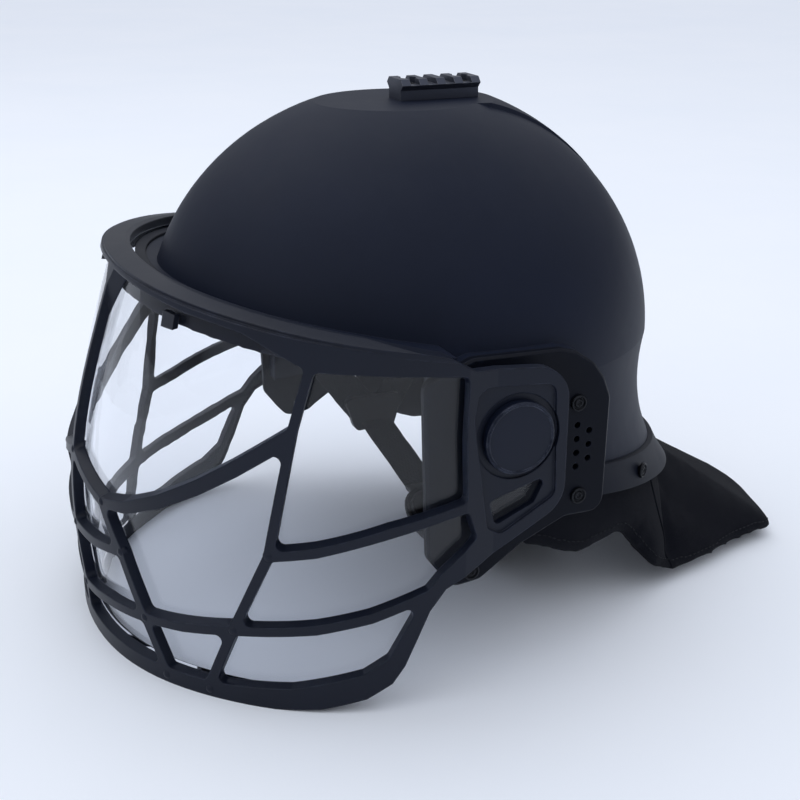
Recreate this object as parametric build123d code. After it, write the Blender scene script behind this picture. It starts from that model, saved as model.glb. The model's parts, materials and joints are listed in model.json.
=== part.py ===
from build123d import *
import os
from math import cos, hypot, radians, sin, sqrt

# Riot helmet, standing as it is put down: the visor's bottom rim and the hem corners of the
# neck guard are on the floor (z = 0). Front is -Y, the wearer's left is +X, up is +Z.
# Lengths are in millimetres and angles in degrees.

# General values
OVERRUN = 40.0                # how far a cutting solid runs past what it cuts
BODY_GAP = 0.3                # room between a soft or curved piece and its neighbour
SHAFT_GAP = 0.05              # radial clearance of a shaft in its bush

# Shell
DOME_HALF_WIDTH = 124.0
DOME_HALF_LENGTH = 139.5
DOME_HEIGHT = 129.5           # above the widest section
DOME_PITCH = 5.0              # the dome's front is tipped up
DOME_Y = -19.0
DOME_Z = 147.0
SHELL_WALL = 4.0
WAIST_Z = 100.0               # the wall stands upright down to here, then flares
FLARE_Z = 50.0
FLARE_SIDE = 6.0              # growth of the half width at the flare
FLARE_REAR = 28.0             # growth of the rear at the flare
FACE_EDGE_Y = -56.0           # front edge of the ear flaps
EAR_EDGE_Z = 79.0             # lower edge of the ear flaps
RIM_SIDE_Y = 42.0             # the rear rim starts to fall here
RIM_REAR_Y = 150.0
RIM_REAR_Z = 57.0

# Crown: a flat seat for the rail, and a low ridge that runs out down the back
CROWN_TOP_Z = 269.5
CROWN_RISE = 3.0              # the ridge is the dome moved up by this
CROWN_FORWARD = 2.1           # and forwards by this, so that it dies out behind
CROWN_FRONT_Y = -30.0
CROWN_WIDE_Y = 20.0
CROWN_REAR_Y = 124.0
CROWN_FRONT_HALF = 20.0
CROWN_WIDE_HALF = 30.0
CROWN_REAR_HALF = 4.0
CROWN_DEPTH = 70.0
CROWN_FLANK_ANGLE = 14.0

# Brim and its edge trim
BRIM_CENTRE_Y = -50.0
BRIM_HALF_WIDTH = 138.0
BRIM_REACH = 109.5            # from its centre to the front edge
BRIM_SIDE_Z = 172.5           # height of its upper face at the centre line
BRIM_SLOPE = 0.17             # rise over run, towards the front
BRIM_THICKNESS = 3.5
TRIM_PROUD = 1.6
TRIM_GRIP = 4.0
TRIM_THICKNESS = 6.5
TRIM_END_Y = -60.0            # the trim ends beside the hinge plates

# Rear rim band
RIM_BAND_THICKNESS = 2.6
RIM_BAND_HEIGHT = 15.5

# Visor: a wall that is squarish round in plan and leans in at the top, with flat pods
VISOR_CENTRE_Y = -50.0
VISOR_HALF_WIDTH = 152.5
# Levels of the wall: (reach, height, power of the plan curve, where 2 is an ellipse)
VISOR_PROFILE = [
    (153.0, -12.0, 2.0),
    (155.5, 50.0, 2.0),
    (154.5, 98.0, 2.05),
    (142.5, 150.0, 2.16),
    (127.0, 197.0, 2.16),
    (121.5, 214.0, 2.16),
]
VISOR_WALL = 5.5
POD_FACE_X = 149.0
POD_FLAT_Y = -34.0            # the pods are flat behind this line
POD_REAR_Y = 4.0
PIVOT_Y = -22.0
PIVOT_Z = 133.0
FLANGE_SIDE_Z = 174.5         # lower face of the flange at the visor's centre line
FLANGE_SLOPE = 0.165
FLANGE_EDGE = 3.0             # height of its outer edge
FLANGE_THICKNESS = 5.0        # at its inner edge
FLANGE_HALF_WIDTH = 153.2
FLANGE_REACH = 128.5
FLANGE_ROUNDNESS = 2.1
FLANGE_INNER_HALF_WIDTH = 142.5
FLANGE_INNER_REACH = 115.5
FLANGE_LAND = 2.0             # flat top beside the inner edge
RIM_HEIGHT = 8.5
RIM_DEPTH = 10.0              # in from the visor's outer face
POD_RECESS = 1.6
POD_SEAT_DEPTH = 2.8          # round seat of the knob, below the pod face
POD_RECESS_RADIUS = 21.5

# Bars of the visor, as places on its wall: (degrees round from the front, height)
BAR_WIDTH = 5.2
NODE_FILLET = 3.2
SHARP_TURN = 28.0             # corners that turn more than this are rounded
CENTRE_NODE_Z = 99.0
LOW_CROSS_Z = 22.0
MID_CROSS_Z = 58.0
BROW_LOW = (16.5, 87.0)
DIAGONAL_MID = (22.2, 65.0)
DIAGONAL_LOW = (27.2, 32.8)
DIAGONAL_FOOT = (31.8, 0.0)
BROW_RISE = [(24.5, 92.0), (33.0, 101.5), (41.2, 113.5), (48.0, 125.0)]
BROW_HIGH = (59.2, 145.5)
BROW_THICK = 3.6              # extra width of the brow bar where it meets the side bar
SIDE_TOP = (62.4, 176.0)
SIDE_MID = (54.6, 82.5)
SIDE_LOW = (47.3, 40.0)
SIDE_FOOT = (41.8, 0.0)
UPPER_CROSS = [(62.9, 86.0), (75.9, 95.0)]
UPPER_CROSS_END = (91.0, 103.5)
LOWER_CROSS = [(62.7, 45.3), (72.6, 51.2)]
LOWER_CROSS_END = (83.4, 61.0)
FRONT_CROSS = (36.5, 35.4)
MID_CROSS = (12.5, 60.8)
LOW_CROSS = (14.4, 29.0)
TOP_ANGLES = [50.0, 36.0, 22.0, 8.0, 0.0]
TEMPLE_EDGE = [(90.6, 136.0), (91.0, 170.0), (76.0, 174.0)]
JAW_EDGE = [(86.0, 69.0), (93.4, 85.0)]
LEG_EDGE = [(58.2, 9.8), (71.5, 18.6), (76.4, 27.0)]

# Side view outlines of the visor and its pods, (y, z)
VISOR_OUTLINE = [
    (-260.0, 230.0),
    (-60.0, 178.0),
    (-46.0, 169.6),
    (4.0, 165.0),
    (4.0, 95.0),
    (-26.0, 79.0),
    (-42.0, 71.0),
    (-60.0, 62.5),
    (-68.0, 52.0),
    (-80.0, 24.0),
    (-86.0, 15.0),
    (-98.0, 7.5),
    (-118.0, 2.0),
    (-138.0, 0.0),
    (-260.0, 0.0),
]
POD_CORNER = 18.0
POD_RECESS_OUTLINE = [
    (-47.0, 146.0),
    (-44.0, 160.5),
    (-3.0, 157.5),
    (-1.0, 100.0),
    (-30.0, 84.0),
    (-38.0, 89.0),
]
POD_RECESS_CORNER = 6.0
POD_WINDOW_OUTLINE = [(-36.0, 101.5), (-32.5, 88.5), (-12.0, 97.0), (-5.0, 110.5)]
POD_WINDOW_CORNER = 2.5

# Lens, its top seal and its clips
LENS_INSET = 5.8              # its outer face, in from the visor's outer face
LENS_THICKNESS = 3.0
LENS_BOTTOM_Z = 9.2
LENS_MARGIN = 3.0             # from the frame's edge to the lens's edge
SEAL_THICKNESS = 2.2
SEAL_HEIGHT = 11.0
SEAL_END_Y = -72.0
CLIP_ANGLE = 31.0
CLIP_WIDTH = 9.0
CLIP_HEIGHT = 13.0
CLIP_PROUD = 3.6

# Hinge plates and pivots, one stack along X
PLATE_INNER_X = 126.0
PLATE_THICKNESS = 4.5
PLATE_CORNER = 8.0
# Its outline, in side view as (y, z)
PLATE_OUTLINE = [
    (-63.0, 159.0),
    (-60.0, 68.0),
    (-46.0, 49.5),
    (-31.0, 51.0),
    (-9.0, 66.0),
    (16.0, 77.0),
    (38.0, 77.0),
    (39.0, 138.5),
    (35.1, 148.6),
    (28.9, 157.2),
    (19.3, 164.0),
    (9.9, 166.9),
    (-37.0, 168.0),
]
PLATE_REAR_Y = 38.5
PLATE_SCREWS = [(20.0, 138.0), (22.5, 88.0)]
TAB_SCREW = (-36.5, 57.0)
PLATE_EDGE = 1.2
PLATE_BOSS_RADIUS = 17.0
BUSH_RADIUS = 9.0
BUSH_FLANGE_RADIUS = 13.0
BUSH_FLANGE = 1.5
WASHER_RADIUS = 15.0
WASHER_THICKNESS = 2.0
STUD_RADIUS = 5.0
STUD_FLANGE_RADIUS = 11.0
STUD_FLANGE_THICKNESS = 3.0
STUD_SEAT_GAP = 0.9           # of its flange from the curved wall at the bore
STUD_END = 2.4                # past the floor of the knob's seat
KNOB_RADIUS = 18.2
KNOB_HEIGHT = 5.0
KNOB_DISH = 1.4
KNOB_RIM = 3.0
KNOB_EDGE = 1.0
EAR_HOLE_RADIUS = 1.7
EAR_HOLE_PITCH = 7.4
EAR_HOLE_Y = 20.5
EAR_HOLE_TOP_Z = 126.0
EAR_COLUMN_STEP = 6.8
LENS_INNER_X = POD_FACE_X - LENS_INSET - LENS_THICKNESS
WASHER_X = LENS_INNER_X - BUSH_FLANGE - SHAFT_GAP - WASHER_THICKNESS
PLATE_OUTER_X = PLATE_INNER_X + PLATE_THICKNESS

# Screws
SCREW_HEAD_RADIUS = 4.2
SCREW_HEAD_HEIGHT = 1.8
SCREW_RADIUS = 2.0
SCREW_SOCKET_RADIUS = 1.4
SCREW_SOCKET_DEPTH = 1.0
PLATE_SCREW_LENGTH = 9.0
TAB_SCREW_LENGTH = 8.0
NUT_RADIUS = 4.2
NUT_HEIGHT = 3.0
RIM_SCREW_LENGTH = 7.5
RIM_SCREW_ANGLES = [40.0, 90.0, 140.0]

# Impact liner, pads and headband, each a layer at an inset from the shell's outer face
LINER_THICKNESS = 18.0
LINER_OUTLINE = [
    (-200.0, 174.0), (-70.0, 162.0), (16.0, 152.0), (60.0, 122.0), (200.0, 122.0),
    (200.0, 300.0), (-200.0, 300.0),
]
PAD_THICKNESS = 10.0
CROWN_PAD_HALF_WIDTH = 42.0
CROWN_PAD_HALF_LENGTH = 55.0
BROW_PAD_OUTLINE = [(-160.0, 192.0), (-160.0, 170.0), (-66.0, 164.0), (-66.0, 192.0)]
NAPE_PAD_THICKNESS = 7.2
NAPE_PAD_HALF_WIDTH = 38.0
NAPE_PAD_LOW_Z = 123.0
NAPE_PAD_HIGH_Z = 143.0
HEADBAND_THICKNESS = 2.5
HEADBAND_HEIGHT = 20.0
HEADBAND_Z = 165.0
HEADBAND_SLOPE = 0.25
CRADLE_THICKNESS = 2.5
CRADLE_HALF_WIDTH = 42.0
CRADLE_LOW_Z = 84.0
CRADLE_HIGH_Z = 141.0
CRADLE_CORNER = 12.0
DIAL_Z = 102.0
DIAL_RADIUS = 16.0
DIAL_THICKNESS = 8.0
DIAL_GRIPS = 16
DIAL_GRIP_RADIUS = 1.6
DIAL_SHAFT_RADIUS = 4.0
DIAL_BOSS_RADIUS = 9.0
DIAL_BOSS_HEIGHT = 6.0
LINER_INSET = SHELL_WALL + BODY_GAP
PAD_INSET = LINER_INSET + LINER_THICKNESS + BODY_GAP
HEADBAND_INSET = PAD_INSET + PAD_THICKNESS + BODY_GAP
CRADLE_INSET = HEADBAND_INSET - BODY_GAP - CRADLE_THICKNESS
EAR_PAD_OUTLINE = [(-8.0, 98.0), (20.0, 98.0), (22.0, 124.0), (-6.0, 120.0)]
EAR_PAD_THICKNESS = 15.0
EAR_PAD_CORNER = 6.0

# Chin straps, on the wearer's left; the other side is the same without the buckle
STRAP_WIDTH = 20.0
STRAP_THICKNESS = 1.6
FRONT_ANCHOR = (-38.0, 106.0)  # (y, z) on the shell's inner wall
REAR_ANCHOR = (44.0, 112.0)
STRAP_TAIL = 8.0              # of a strap beyond its rivet
ANCHOR_STANDOFF = 5.5         # of the strap from the wall at its rivet
JOIN_X = 84.0
FRONT_JOIN = (-9.0, 64.0)
REAR_JOIN = (7.0, 64.0)
JOIN_OUTLINE = [(-21.0, 72.0), (19.0, 72.0), (12.0, 50.0), (-14.0, 50.0)]
JOIN_THICKNESS = 4.6
JOIN_CORNER = 4.0
JOIN_LOW = (-1.0, 57.0)
RIVET_RADIUS = 5.0
RIVET_HEAD = 1.2
RIVET_SHANK_RADIUS = 2.2

# Chin cup, a bowl that lies open side up, and its inner pad
CUP_HALF_WIDTH = 46.0
CUP_HALF_LENGTH = 27.0
CUP_DEPTH = 20.0
CUP_WALL = 2.6
CUP_Y = 18.0
CUP_RIM_Z = 22.0
CUP_PAD_THICKNESS = 4.0
LUG_LENGTH = 9.0
LUG_WIDTH = 23.0
LUG_HEIGHT = 3.4

# Side release buckle, in its own frame: x along the strap, y across it, z out of it
BUCKLE_PLACE_SHARE = 0.58     # of the way from the join to the cup
BUCKLE_LENGTH = 22.0
BUCKLE_WIDTH = 26.0
BUCKLE_HEIGHT = 9.6
BUCKLE_CORNER = 2.4
TONGUE_WIDTH = 15.0
TONGUE_THICKNESS = 2.6
TONGUE_REACH = 13.0           # inside the body
TONGUE_BAR = 6.0
TONGUE_SLOT_Z = -2.6          # centre of the slot, from the body's middle
BUTTON_LENGTH = 10.0
BUTTON_WIDTH = 11.0
BUTTON_HEIGHT = 3.4
BUTTON_TRAVEL = 2.0
BUTTON_PROUD = 0.8
BUTTON_GAP = 0.2

# Neck guard: stations round the rear, each (share of a quarter turn, hem x, hem y, hem z)
NECK_THICKNESS = 8.0
NECK_GRIP = 14.0              # height inside the rim
NECK_GAP = 1.6
NECK_LEAD = 14.5              # a hem further out than this gives the section its heading
NECK_STATIONS = [
    (0.04, 113.0, -10.0, 56.0),
    (0.22, 112.0, 30.0, 39.0),
    (0.40, 110.0, 66.0, 38.0),
    (0.56, 101.0, 93.0, 15.0),
    (0.68, 93.0, 110.0, 5.0),
    (0.76, 84.0, 152.0, 5.0),
    (0.86, 66.0, 207.0, 5.0),
    (1.0, 0.0, 226.0, 5.0),
]
RIM_DROP = (EAR_EDGE_Z - RIM_REAR_Z) / (RIM_REAR_Y - RIM_SIDE_Y)

# Rail, to the usual accessory rail section
RAIL_WIDTH = 21.2
RAIL_TOP_WIDTH = 15.67
RAIL_WAIST_WIDTH = 15.67
RAIL_SLOT_PITCH = 10.008
RAIL_SLOT_WIDTH = 5.23
RAIL_SLOT_DEPTH = 3.0
RAIL_SLOT_COUNT = 4
RAIL_WIDEST_HEIGHT = 8.0
RAIL_HEIGHT = 11.0
RAIL_END = 5.0                # land at the ends, beyond whole pitches
RAIL_CENTRE_Y = 0.0
RAIL_LENGTH = RAIL_SLOT_COUNT * RAIL_SLOT_PITCH + RAIL_END
RAIL_SCREW_PLACES = [
    RAIL_CENTRE_Y - RAIL_SLOT_PITCH * 3 / 2,
    RAIL_CENTRE_Y + RAIL_SLOT_PITCH * 3 / 2,
]


def at_visor(angle, radius, z):
    """A point on the visor, by its angle round from the front."""
    a = radians(angle)
    return Vector(radius * sin(a), VISOR_CENTRE_Y - radius * cos(a), z)


def both(solid):
    """A piece and its mirror image on the other side."""
    return [solid, mirror(solid, about=Plane.YZ)]


def fuse(first, *others):
    """One shape from several."""
    result = first
    for other in others:
        result = result + other
    return result


def write(node, *solids):
    """One STEP file for each node."""
    parts = []
    for solid in solids:
        parts.extend(solid.solids())
    shape = parts[0] if len(parts) == 1 else Compound(children=parts)
    shape.label = node
    export_step(shape, os.path.join("parts", node + ".step"))
    print(node, len(parts), round(sum(p.volume for p in parts) / 1000.0, 2), "cm3")
    return shape


def side_prism(points, x_from, x_to, corner=0.0):
    """A prism along X from a side view outline of (y, z) points."""
    face = Plane.YZ * make_face(Polyline(*points, close=True))
    if corner > 0:
        face = fillet(face.vertices(), corner)
    return Pos(x_from, 0, 0) * extrude(face, x_to - x_from, dir=(1, 0, 0))


def waist_length(inset):
    """Half length of the tipped dome where it meets the upright wall."""
    length = DOME_HALF_LENGTH - inset
    height = DOME_HEIGHT - inset
    pitch = radians(DOME_PITCH)
    return 1 / hypot(cos(pitch) / length, sin(pitch) / height)


def dome(inset):
    """The dome as a stretched, tipped ball, smaller all round by the inset."""
    sizes = (DOME_HALF_WIDTH - inset, DOME_HALF_LENGTH - inset, DOME_HEIGHT - inset)
    return Pos(0, DOME_Y, DOME_Z) * Rot(-DOME_PITCH, 0, 0) * scale(Sphere(1), by=sizes)


def skirt(inset, bottom_z=FLARE_Z):
    """The upright wall under the dome and its flare at the nape."""
    levels = [
        (DOME_Z, 0.0, 0.0),
        (WAIST_Z, 0.0, 0.0),
        (bottom_z, FLARE_SIDE, FLARE_REAR),
    ]
    rings = []
    for z, side, rear in levels:
        half_width = DOME_HALF_WIDTH + side - inset
        half_length = waist_length(inset) + rear / 2
        rings.append(Pos(0, DOME_Y + rear / 2, z) * Ellipse(half_width, half_length))
    return loft(rings)


def head_form(inset):
    """Dome and skirt as one closed solid, flat at the crown."""
    upper = dome(inset) & Pos(0, 0, DOME_Z) * Box(
        2 * OVERRUN + 2 * DOME_HALF_WIDTH,
        2 * OVERRUN + 2 * DOME_HALF_LENGTH,
        CROWN_TOP_Z - inset - DOME_Z,
        align=(Align.CENTER, Align.CENTER, Align.MIN),
    )
    return upper + skirt(inset)


def layer(inset, thickness):
    """A layer that follows the shell, from an inset inwards."""
    return head_form(inset) - head_form(inset + thickness)


def wall_half_width(y):
    """Half width of the shell's upright inner wall at a place along it."""
    along = (y - DOME_Y) / waist_length(SHELL_WALL)
    return (DOME_HALF_WIDTH - SHELL_WALL) * sqrt(1 - along * along)


def rim_z(y):
    """Height of the shell's lower edge."""
    return EAR_EDGE_Z - RIM_DROP * max(0.0, y - RIM_SIDE_Y)


def wall_place(quarter_share, inset):
    """A place over the rim on the shell's wall, and the flare there; 0 is at the ear."""
    turn_angle = radians(90 * quarter_share)
    y = DOME_Y + waist_length(inset) * sin(turn_angle)
    flare = (WAIST_Z - rim_z(y)) / (WAIST_Z - FLARE_Z)
    half_width = DOME_HALF_WIDTH - inset + FLARE_SIDE * flare
    half_length = waist_length(inset) + FLARE_REAR / 2 * flare
    centre_y = DOME_Y + FLARE_REAR / 2 * flare
    place = (half_width * cos(turn_angle), centre_y + half_length * sin(turn_angle))
    return place, flare


def tilted_slab(y, z, slope, thickness):
    """A slab whose upper face passes through (y, z) and rises towards the front."""
    reach = 2 * DOME_HALF_LENGTH
    front = (y - reach, z + slope * reach)
    rear = (y + reach, z - slope * reach)
    points = [
        front,
        rear,
        (rear[0], rear[1] - thickness),
        (front[0], front[1] - thickness),
    ]
    return side_prism(points, -2 * DOME_HALF_WIDTH, 2 * DOME_HALF_WIDTH)


def plan_prism(half_width, reach, centre_y):
    """An upright elliptical prism, cut off behind its centre line."""
    height = DOME_Z + DOME_HEIGHT + OVERRUN
    front_half = Pos(0, centre_y, 0) * Box(
        2 * half_width + OVERRUN,
        reach + OVERRUN,
        height,
        align=(Align.CENTER, Align.MAX, Align.MIN),
    )
    return Pos(0, centre_y, 0) * extrude(Ellipse(half_width, reach), height) & front_half


def crown(inset):
    """The raised crown: a tapered outline that follows the dome, with a flat top."""
    outline = Polyline(
        (-CROWN_FRONT_HALF, CROWN_FRONT_Y),
        (-CROWN_WIDE_HALF, CROWN_WIDE_Y),
        (-CROWN_REAR_HALF, CROWN_REAR_Y),
        (CROWN_REAR_HALF, CROWN_REAR_Y),
        (CROWN_WIDE_HALF, CROWN_WIDE_Y),
        (CROWN_FRONT_HALF, CROWN_FRONT_Y),
        close=True,
    )
    block = extrude(
        Pos(0, 0, CROWN_TOP_Z - inset) * make_face(outline),
        CROWN_DEPTH,
        dir=(0, 0, -1),
        taper=-CROWN_FLANK_ANGLE,
    )
    return block & Pos(0, -CROWN_FORWARD, CROWN_RISE) * dome(inset)




def shell_keep():
    """The side view of the shell body, without the brim."""
    points = [
        (RIM_REAR_Y + OVERRUN, DOME_Z + DOME_HEIGHT + OVERRUN),
        (-RIM_REAR_Y - OVERRUN, DOME_Z + DOME_HEIGHT + OVERRUN),
        (-RIM_REAR_Y - OVERRUN, BRIM_SIDE_Z + BRIM_SLOPE * (RIM_REAR_Y + OVERRUN + BRIM_CENTRE_Y)),
        (FACE_EDGE_Y, BRIM_SIDE_Z - BRIM_THICKNESS),
        (FACE_EDGE_Y, EAR_EDGE_Z),
        (RIM_SIDE_Y, EAR_EDGE_Z),
        (RIM_REAR_Y, RIM_REAR_Z),
        (RIM_REAR_Y + OVERRUN, RIM_REAR_Z),
    ]
    return side_prism(points, -2 * DOME_HALF_WIDTH, 2 * DOME_HALF_WIDTH)


def cross_bore(y, z, radius):
    """A bore from side to side."""
    return Pos(0, y, z) * Rot(0, 90, 0) * Cylinder(radius, 4 * DOME_HALF_WIDTH)


def make_shell():
    """Shell with brim, flat crown and the flat pads under the hinge plates."""
    pad = side_prism(PLATE_OUTLINE, DOME_HALF_WIDTH - OVERRUN, PLATE_INNER_X, PLATE_CORNER)
    body = fuse(head_form(0), crown(0), *both(pad)) & shell_keep()
    brim = plan_prism(BRIM_HALF_WIDTH, BRIM_REACH, BRIM_CENTRE_Y) & tilted_slab(
        BRIM_CENTRE_Y, BRIM_SIDE_Z, BRIM_SLOPE, BRIM_THICKNESS
    )
    holes = [cross_bore(y, z, SCREW_RADIUS + SHAFT_GAP) for y, z in PLATE_SCREWS]
    holes.append(cross_bore(PIVOT_Y, PIVOT_Z, STUD_RADIUS + SHAFT_GAP))
    holes.extend(rim_screws(SCREW_RADIUS + SHAFT_GAP))
    for y in RAIL_SCREW_PLACES:
        rail_hole = Cylinder(SCREW_RADIUS + SHAFT_GAP, OVERRUN)
        holes.append(Pos(0, y, CROWN_TOP_Z) * rail_hole)
    return (body + brim) - head_form(SHELL_WALL) - fuse(*holes)


def make_rail():
    """Accessory rail: dovetail section with cross slots, on a plain foot."""
    half = RAIL_WIDTH / 2
    top = RAIL_TOP_WIDTH / 2
    waist = RAIL_WAIST_WIDTH / 2
    shoulder = half - waist
    section = Polyline(
        (-waist, 0),
        (-waist, RAIL_WIDEST_HEIGHT - shoulder),
        (-half, RAIL_WIDEST_HEIGHT),
        (-top, RAIL_HEIGHT),
        (top, RAIL_HEIGHT),
        (half, RAIL_WIDEST_HEIGHT),
        (waist, RAIL_WIDEST_HEIGHT - shoulder),
        (waist, 0),
        close=True,
    )
    face = Plane.XZ * make_face(section)
    bar = Pos(0, RAIL_CENTRE_Y, CROWN_TOP_Z) * extrude(face, RAIL_LENGTH / 2, both=True)
    for index in range(RAIL_SLOT_COUNT):
        y = RAIL_CENTRE_Y + (index - (RAIL_SLOT_COUNT - 1) / 2) * RAIL_SLOT_PITCH
        slot = Box(RAIL_WIDTH + OVERRUN, RAIL_SLOT_WIDTH, 2 * RAIL_SLOT_DEPTH)
        bar = bar - Pos(0, y, CROWN_TOP_Z + RAIL_HEIGHT) * slot
    for y in RAIL_SCREW_PLACES:
        bar = bar - Pos(0, y, CROWN_TOP_Z) * screw_bore(RAIL_HEIGHT - RAIL_SLOT_DEPTH)
    return bar


def make_rail_screws():
    """Two screws that lie in slots of the rail and reach through the shell."""
    head_z = CROWN_TOP_Z + RAIL_HEIGHT - RAIL_SLOT_DEPTH - SCREW_HEAD_HEIGHT
    length = head_z - CROWN_TOP_Z + SHELL_WALL
    return [Pos(0, y, head_z) * screw(length) for y in RAIL_SCREW_PLACES]


def screw_bore(head_z):
    """Clearance for an upright screw whose head's upper face is at a height."""
    head = Pos(0, 0, head_z) * Cylinder(
        SCREW_HEAD_RADIUS + BODY_GAP, OVERRUN, align=(Align.CENTER, Align.CENTER, Align.MIN)
    )
    head = Pos(0, 0, -SCREW_HEAD_HEIGHT) * head
    shank = Cylinder(SCREW_RADIUS + SHAFT_GAP, OVERRUN)
    return head + shank


def screw(length):
    """A screw along -Z with the underside of its head at the origin."""
    low = (Align.CENTER, Align.CENTER, Align.MIN)
    high = (Align.CENTER, Align.CENTER, Align.MAX)
    head = Cylinder(SCREW_HEAD_RADIUS, SCREW_HEAD_HEIGHT, align=low)
    socket = Pos(0, 0, SCREW_HEAD_HEIGHT) * Cylinder(
        SCREW_SOCKET_RADIUS, 2 * SCREW_SOCKET_DEPTH
    )
    return head + Cylinder(SCREW_RADIUS, length, align=high) - socket


def make_trim():
    """Soft edging that grips the front edge of the brim."""
    outer = plan_prism(BRIM_HALF_WIDTH + TRIM_PROUD, BRIM_REACH + TRIM_PROUD, BRIM_CENTRE_Y)
    inner = plan_prism(BRIM_HALF_WIDTH - TRIM_GRIP, BRIM_REACH - TRIM_GRIP, BRIM_CENTRE_Y)
    lift = (TRIM_THICKNESS - BRIM_THICKNESS) / 2
    slab = tilted_slab(BRIM_CENTRE_Y, BRIM_SIDE_Z + lift, BRIM_SLOPE, TRIM_THICKNESS)
    brim = tilted_slab(BRIM_CENTRE_Y, BRIM_SIDE_Z, BRIM_SLOPE, BRIM_THICKNESS)
    core = plan_prism(BRIM_HALF_WIDTH, BRIM_REACH, BRIM_CENTRE_Y) & brim
    reach = Pos(0, TRIM_END_Y, 0) * Box(
        2 * BRIM_HALF_WIDTH + OVERRUN,
        2 * BRIM_REACH,
        2 * (DOME_Z + DOME_HEIGHT),
        align=(Align.CENTER, Align.MAX, Align.CENTER),
    )
    return ((outer - inner) & slab & reach) - core - head_form(-BODY_GAP)


def make_rim_band():
    """Band that grips the flared rear edge of the shell, ear to ear."""
    ring = skirt(-RIM_BAND_THICKNESS, FLARE_Z) - skirt(0, FLARE_Z)
    upper = tilted_slab(RIM_SIDE_Y, EAR_EDGE_Z + RIM_BAND_HEIGHT, RIM_DROP, RIM_BAND_HEIGHT)
    rear = Pos(0, PLATE_REAR_Y + BODY_GAP, 0) * Box(
        2 * DOME_HALF_WIDTH + OVERRUN,
        2 * RIM_REAR_Y,
        2 * DOME_Z,
        align=(Align.CENTER, Align.MIN, Align.CENTER),
    )
    return (ring & upper & rear) - fuse(*rim_screws(SCREW_RADIUS + SHAFT_GAP))


def plan_half(half_width, reach, side, rear, roundness):
    """Half a plan of the visor from its centre line: a rounded front, then a straight leg."""
    corner_share = 2 ** (-1 / roundness)
    middle = (corner_share * half_width, -corner_share * reach)
    taper = POD_FLAT_Y - VISOR_CENTRE_Y
    edges = [
        Spline((0, -reach), middle, (half_width, 0), tangents=((1, 0), (0, 1))),
        Line((half_width, 0), (side, taper)),
        Line((side, taper), (side, rear)),
        Line((side, rear), (0, rear)),
        Line((0, rear), (0, -reach)),
    ]
    return make_face(Wire(edges))


def visor_form(inset):
    """Half of the space inside a surface that follows the visor's outer face at an inset."""
    sections = []
    for reach, z, roundness in VISOR_PROFILE:
        face = plan_half(
            VISOR_HALF_WIDTH - inset,
            reach - inset,
            POD_FACE_X - inset,
            POD_REAR_Y - VISOR_CENTRE_Y + OVERRUN + inset,
            roundness,
        )
        sections.append(Pos(0, VISOR_CENTRE_Y, z) * face)
    return loft(sections)


def visor_layer(outer, inner):
    """Half of a wall between two insets from the visor's outer face."""
    return visor_form(outer) - visor_form(inner)


def whole(half):
    """A piece from its half on the wearer's left."""
    return half + mirror(half, about=Plane.YZ)


def radius_at(angle, z):
    """The visor's outer radius, by the angle round from the front and the height."""
    reach, _, power = VISOR_PROFILE[-1]
    for (r0, z0, n0), (r1, z1, n1) in zip(VISOR_PROFILE, VISOR_PROFILE[1:]):
        if z0 <= z <= z1:
            part = (z - z0) / (z1 - z0)
            reach = r0 + (r1 - r0) * part
            power = n0 + (n1 - n0) * part
    a = radians(angle)
    if angle >= 90:
        return VISOR_HALF_WIDTH / sin(a)
    across = (sin(a) / VISOR_HALF_WIDTH) ** power
    ahead = (cos(a) / reach) ** power
    return (across + ahead) ** (-1 / power)


def flange_z(angle):
    """Height of the flange's lower face, by the angle round from the front."""
    ahead = radius_at(angle, FLANGE_SIDE_Z) * cos(radians(angle))
    return FLANGE_SIDE_Z + FLANGE_SLOPE * ahead


def turn(before, here, after):
    """The change of heading at a point of an outline."""
    heading_in = Vector(here[0] - before[0], here[1] - before[1])
    heading_out = Vector(after[0] - here[0], after[1] - here[1])
    return heading_in.get_angle(heading_out)


def corner_triples(outline):
    """Each point of a closed outline with the points before and after it."""
    return zip(outline[-1:] + outline[:-1], outline, outline[1:] + outline[:1])


def inset_outline(outline, margin):
    """A closed outline drawn in by a margin, edge by edge."""
    area = sum(b[0] * c[1] - c[0] * b[1] for _, b, c in corner_triples(outline))
    side = 1 if area > 0 else -1
    moved = []
    for before, here, after in corner_triples(outline):
        along_in = Vector(here[0] - before[0], here[1] - before[1]).normalized()
        along_out = Vector(after[0] - here[0], after[1] - here[1]).normalized()
        normal_in = Vector(-along_in.Y, along_in.X) * side
        normal_out = Vector(-along_out.Y, along_out.X) * side
        middle = normal_in + normal_out
        shift = middle * (2 * margin / middle.dot(middle))
        moved.append((here[0] + shift.X, here[1] + shift.Y))
    return moved


def sharp_corners(face, outline):
    """The vertices of a face where its outline turns sharply."""
    sharp = []
    for before, here, after in corner_triples(outline):
        if turn(before, here, after) > SHARP_TURN:
            vertex = min(face.vertices(), key=lambda v: (Vector(v) - Vector(*here)).length)
            sharp.append(vertex)
    return sharp


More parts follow.
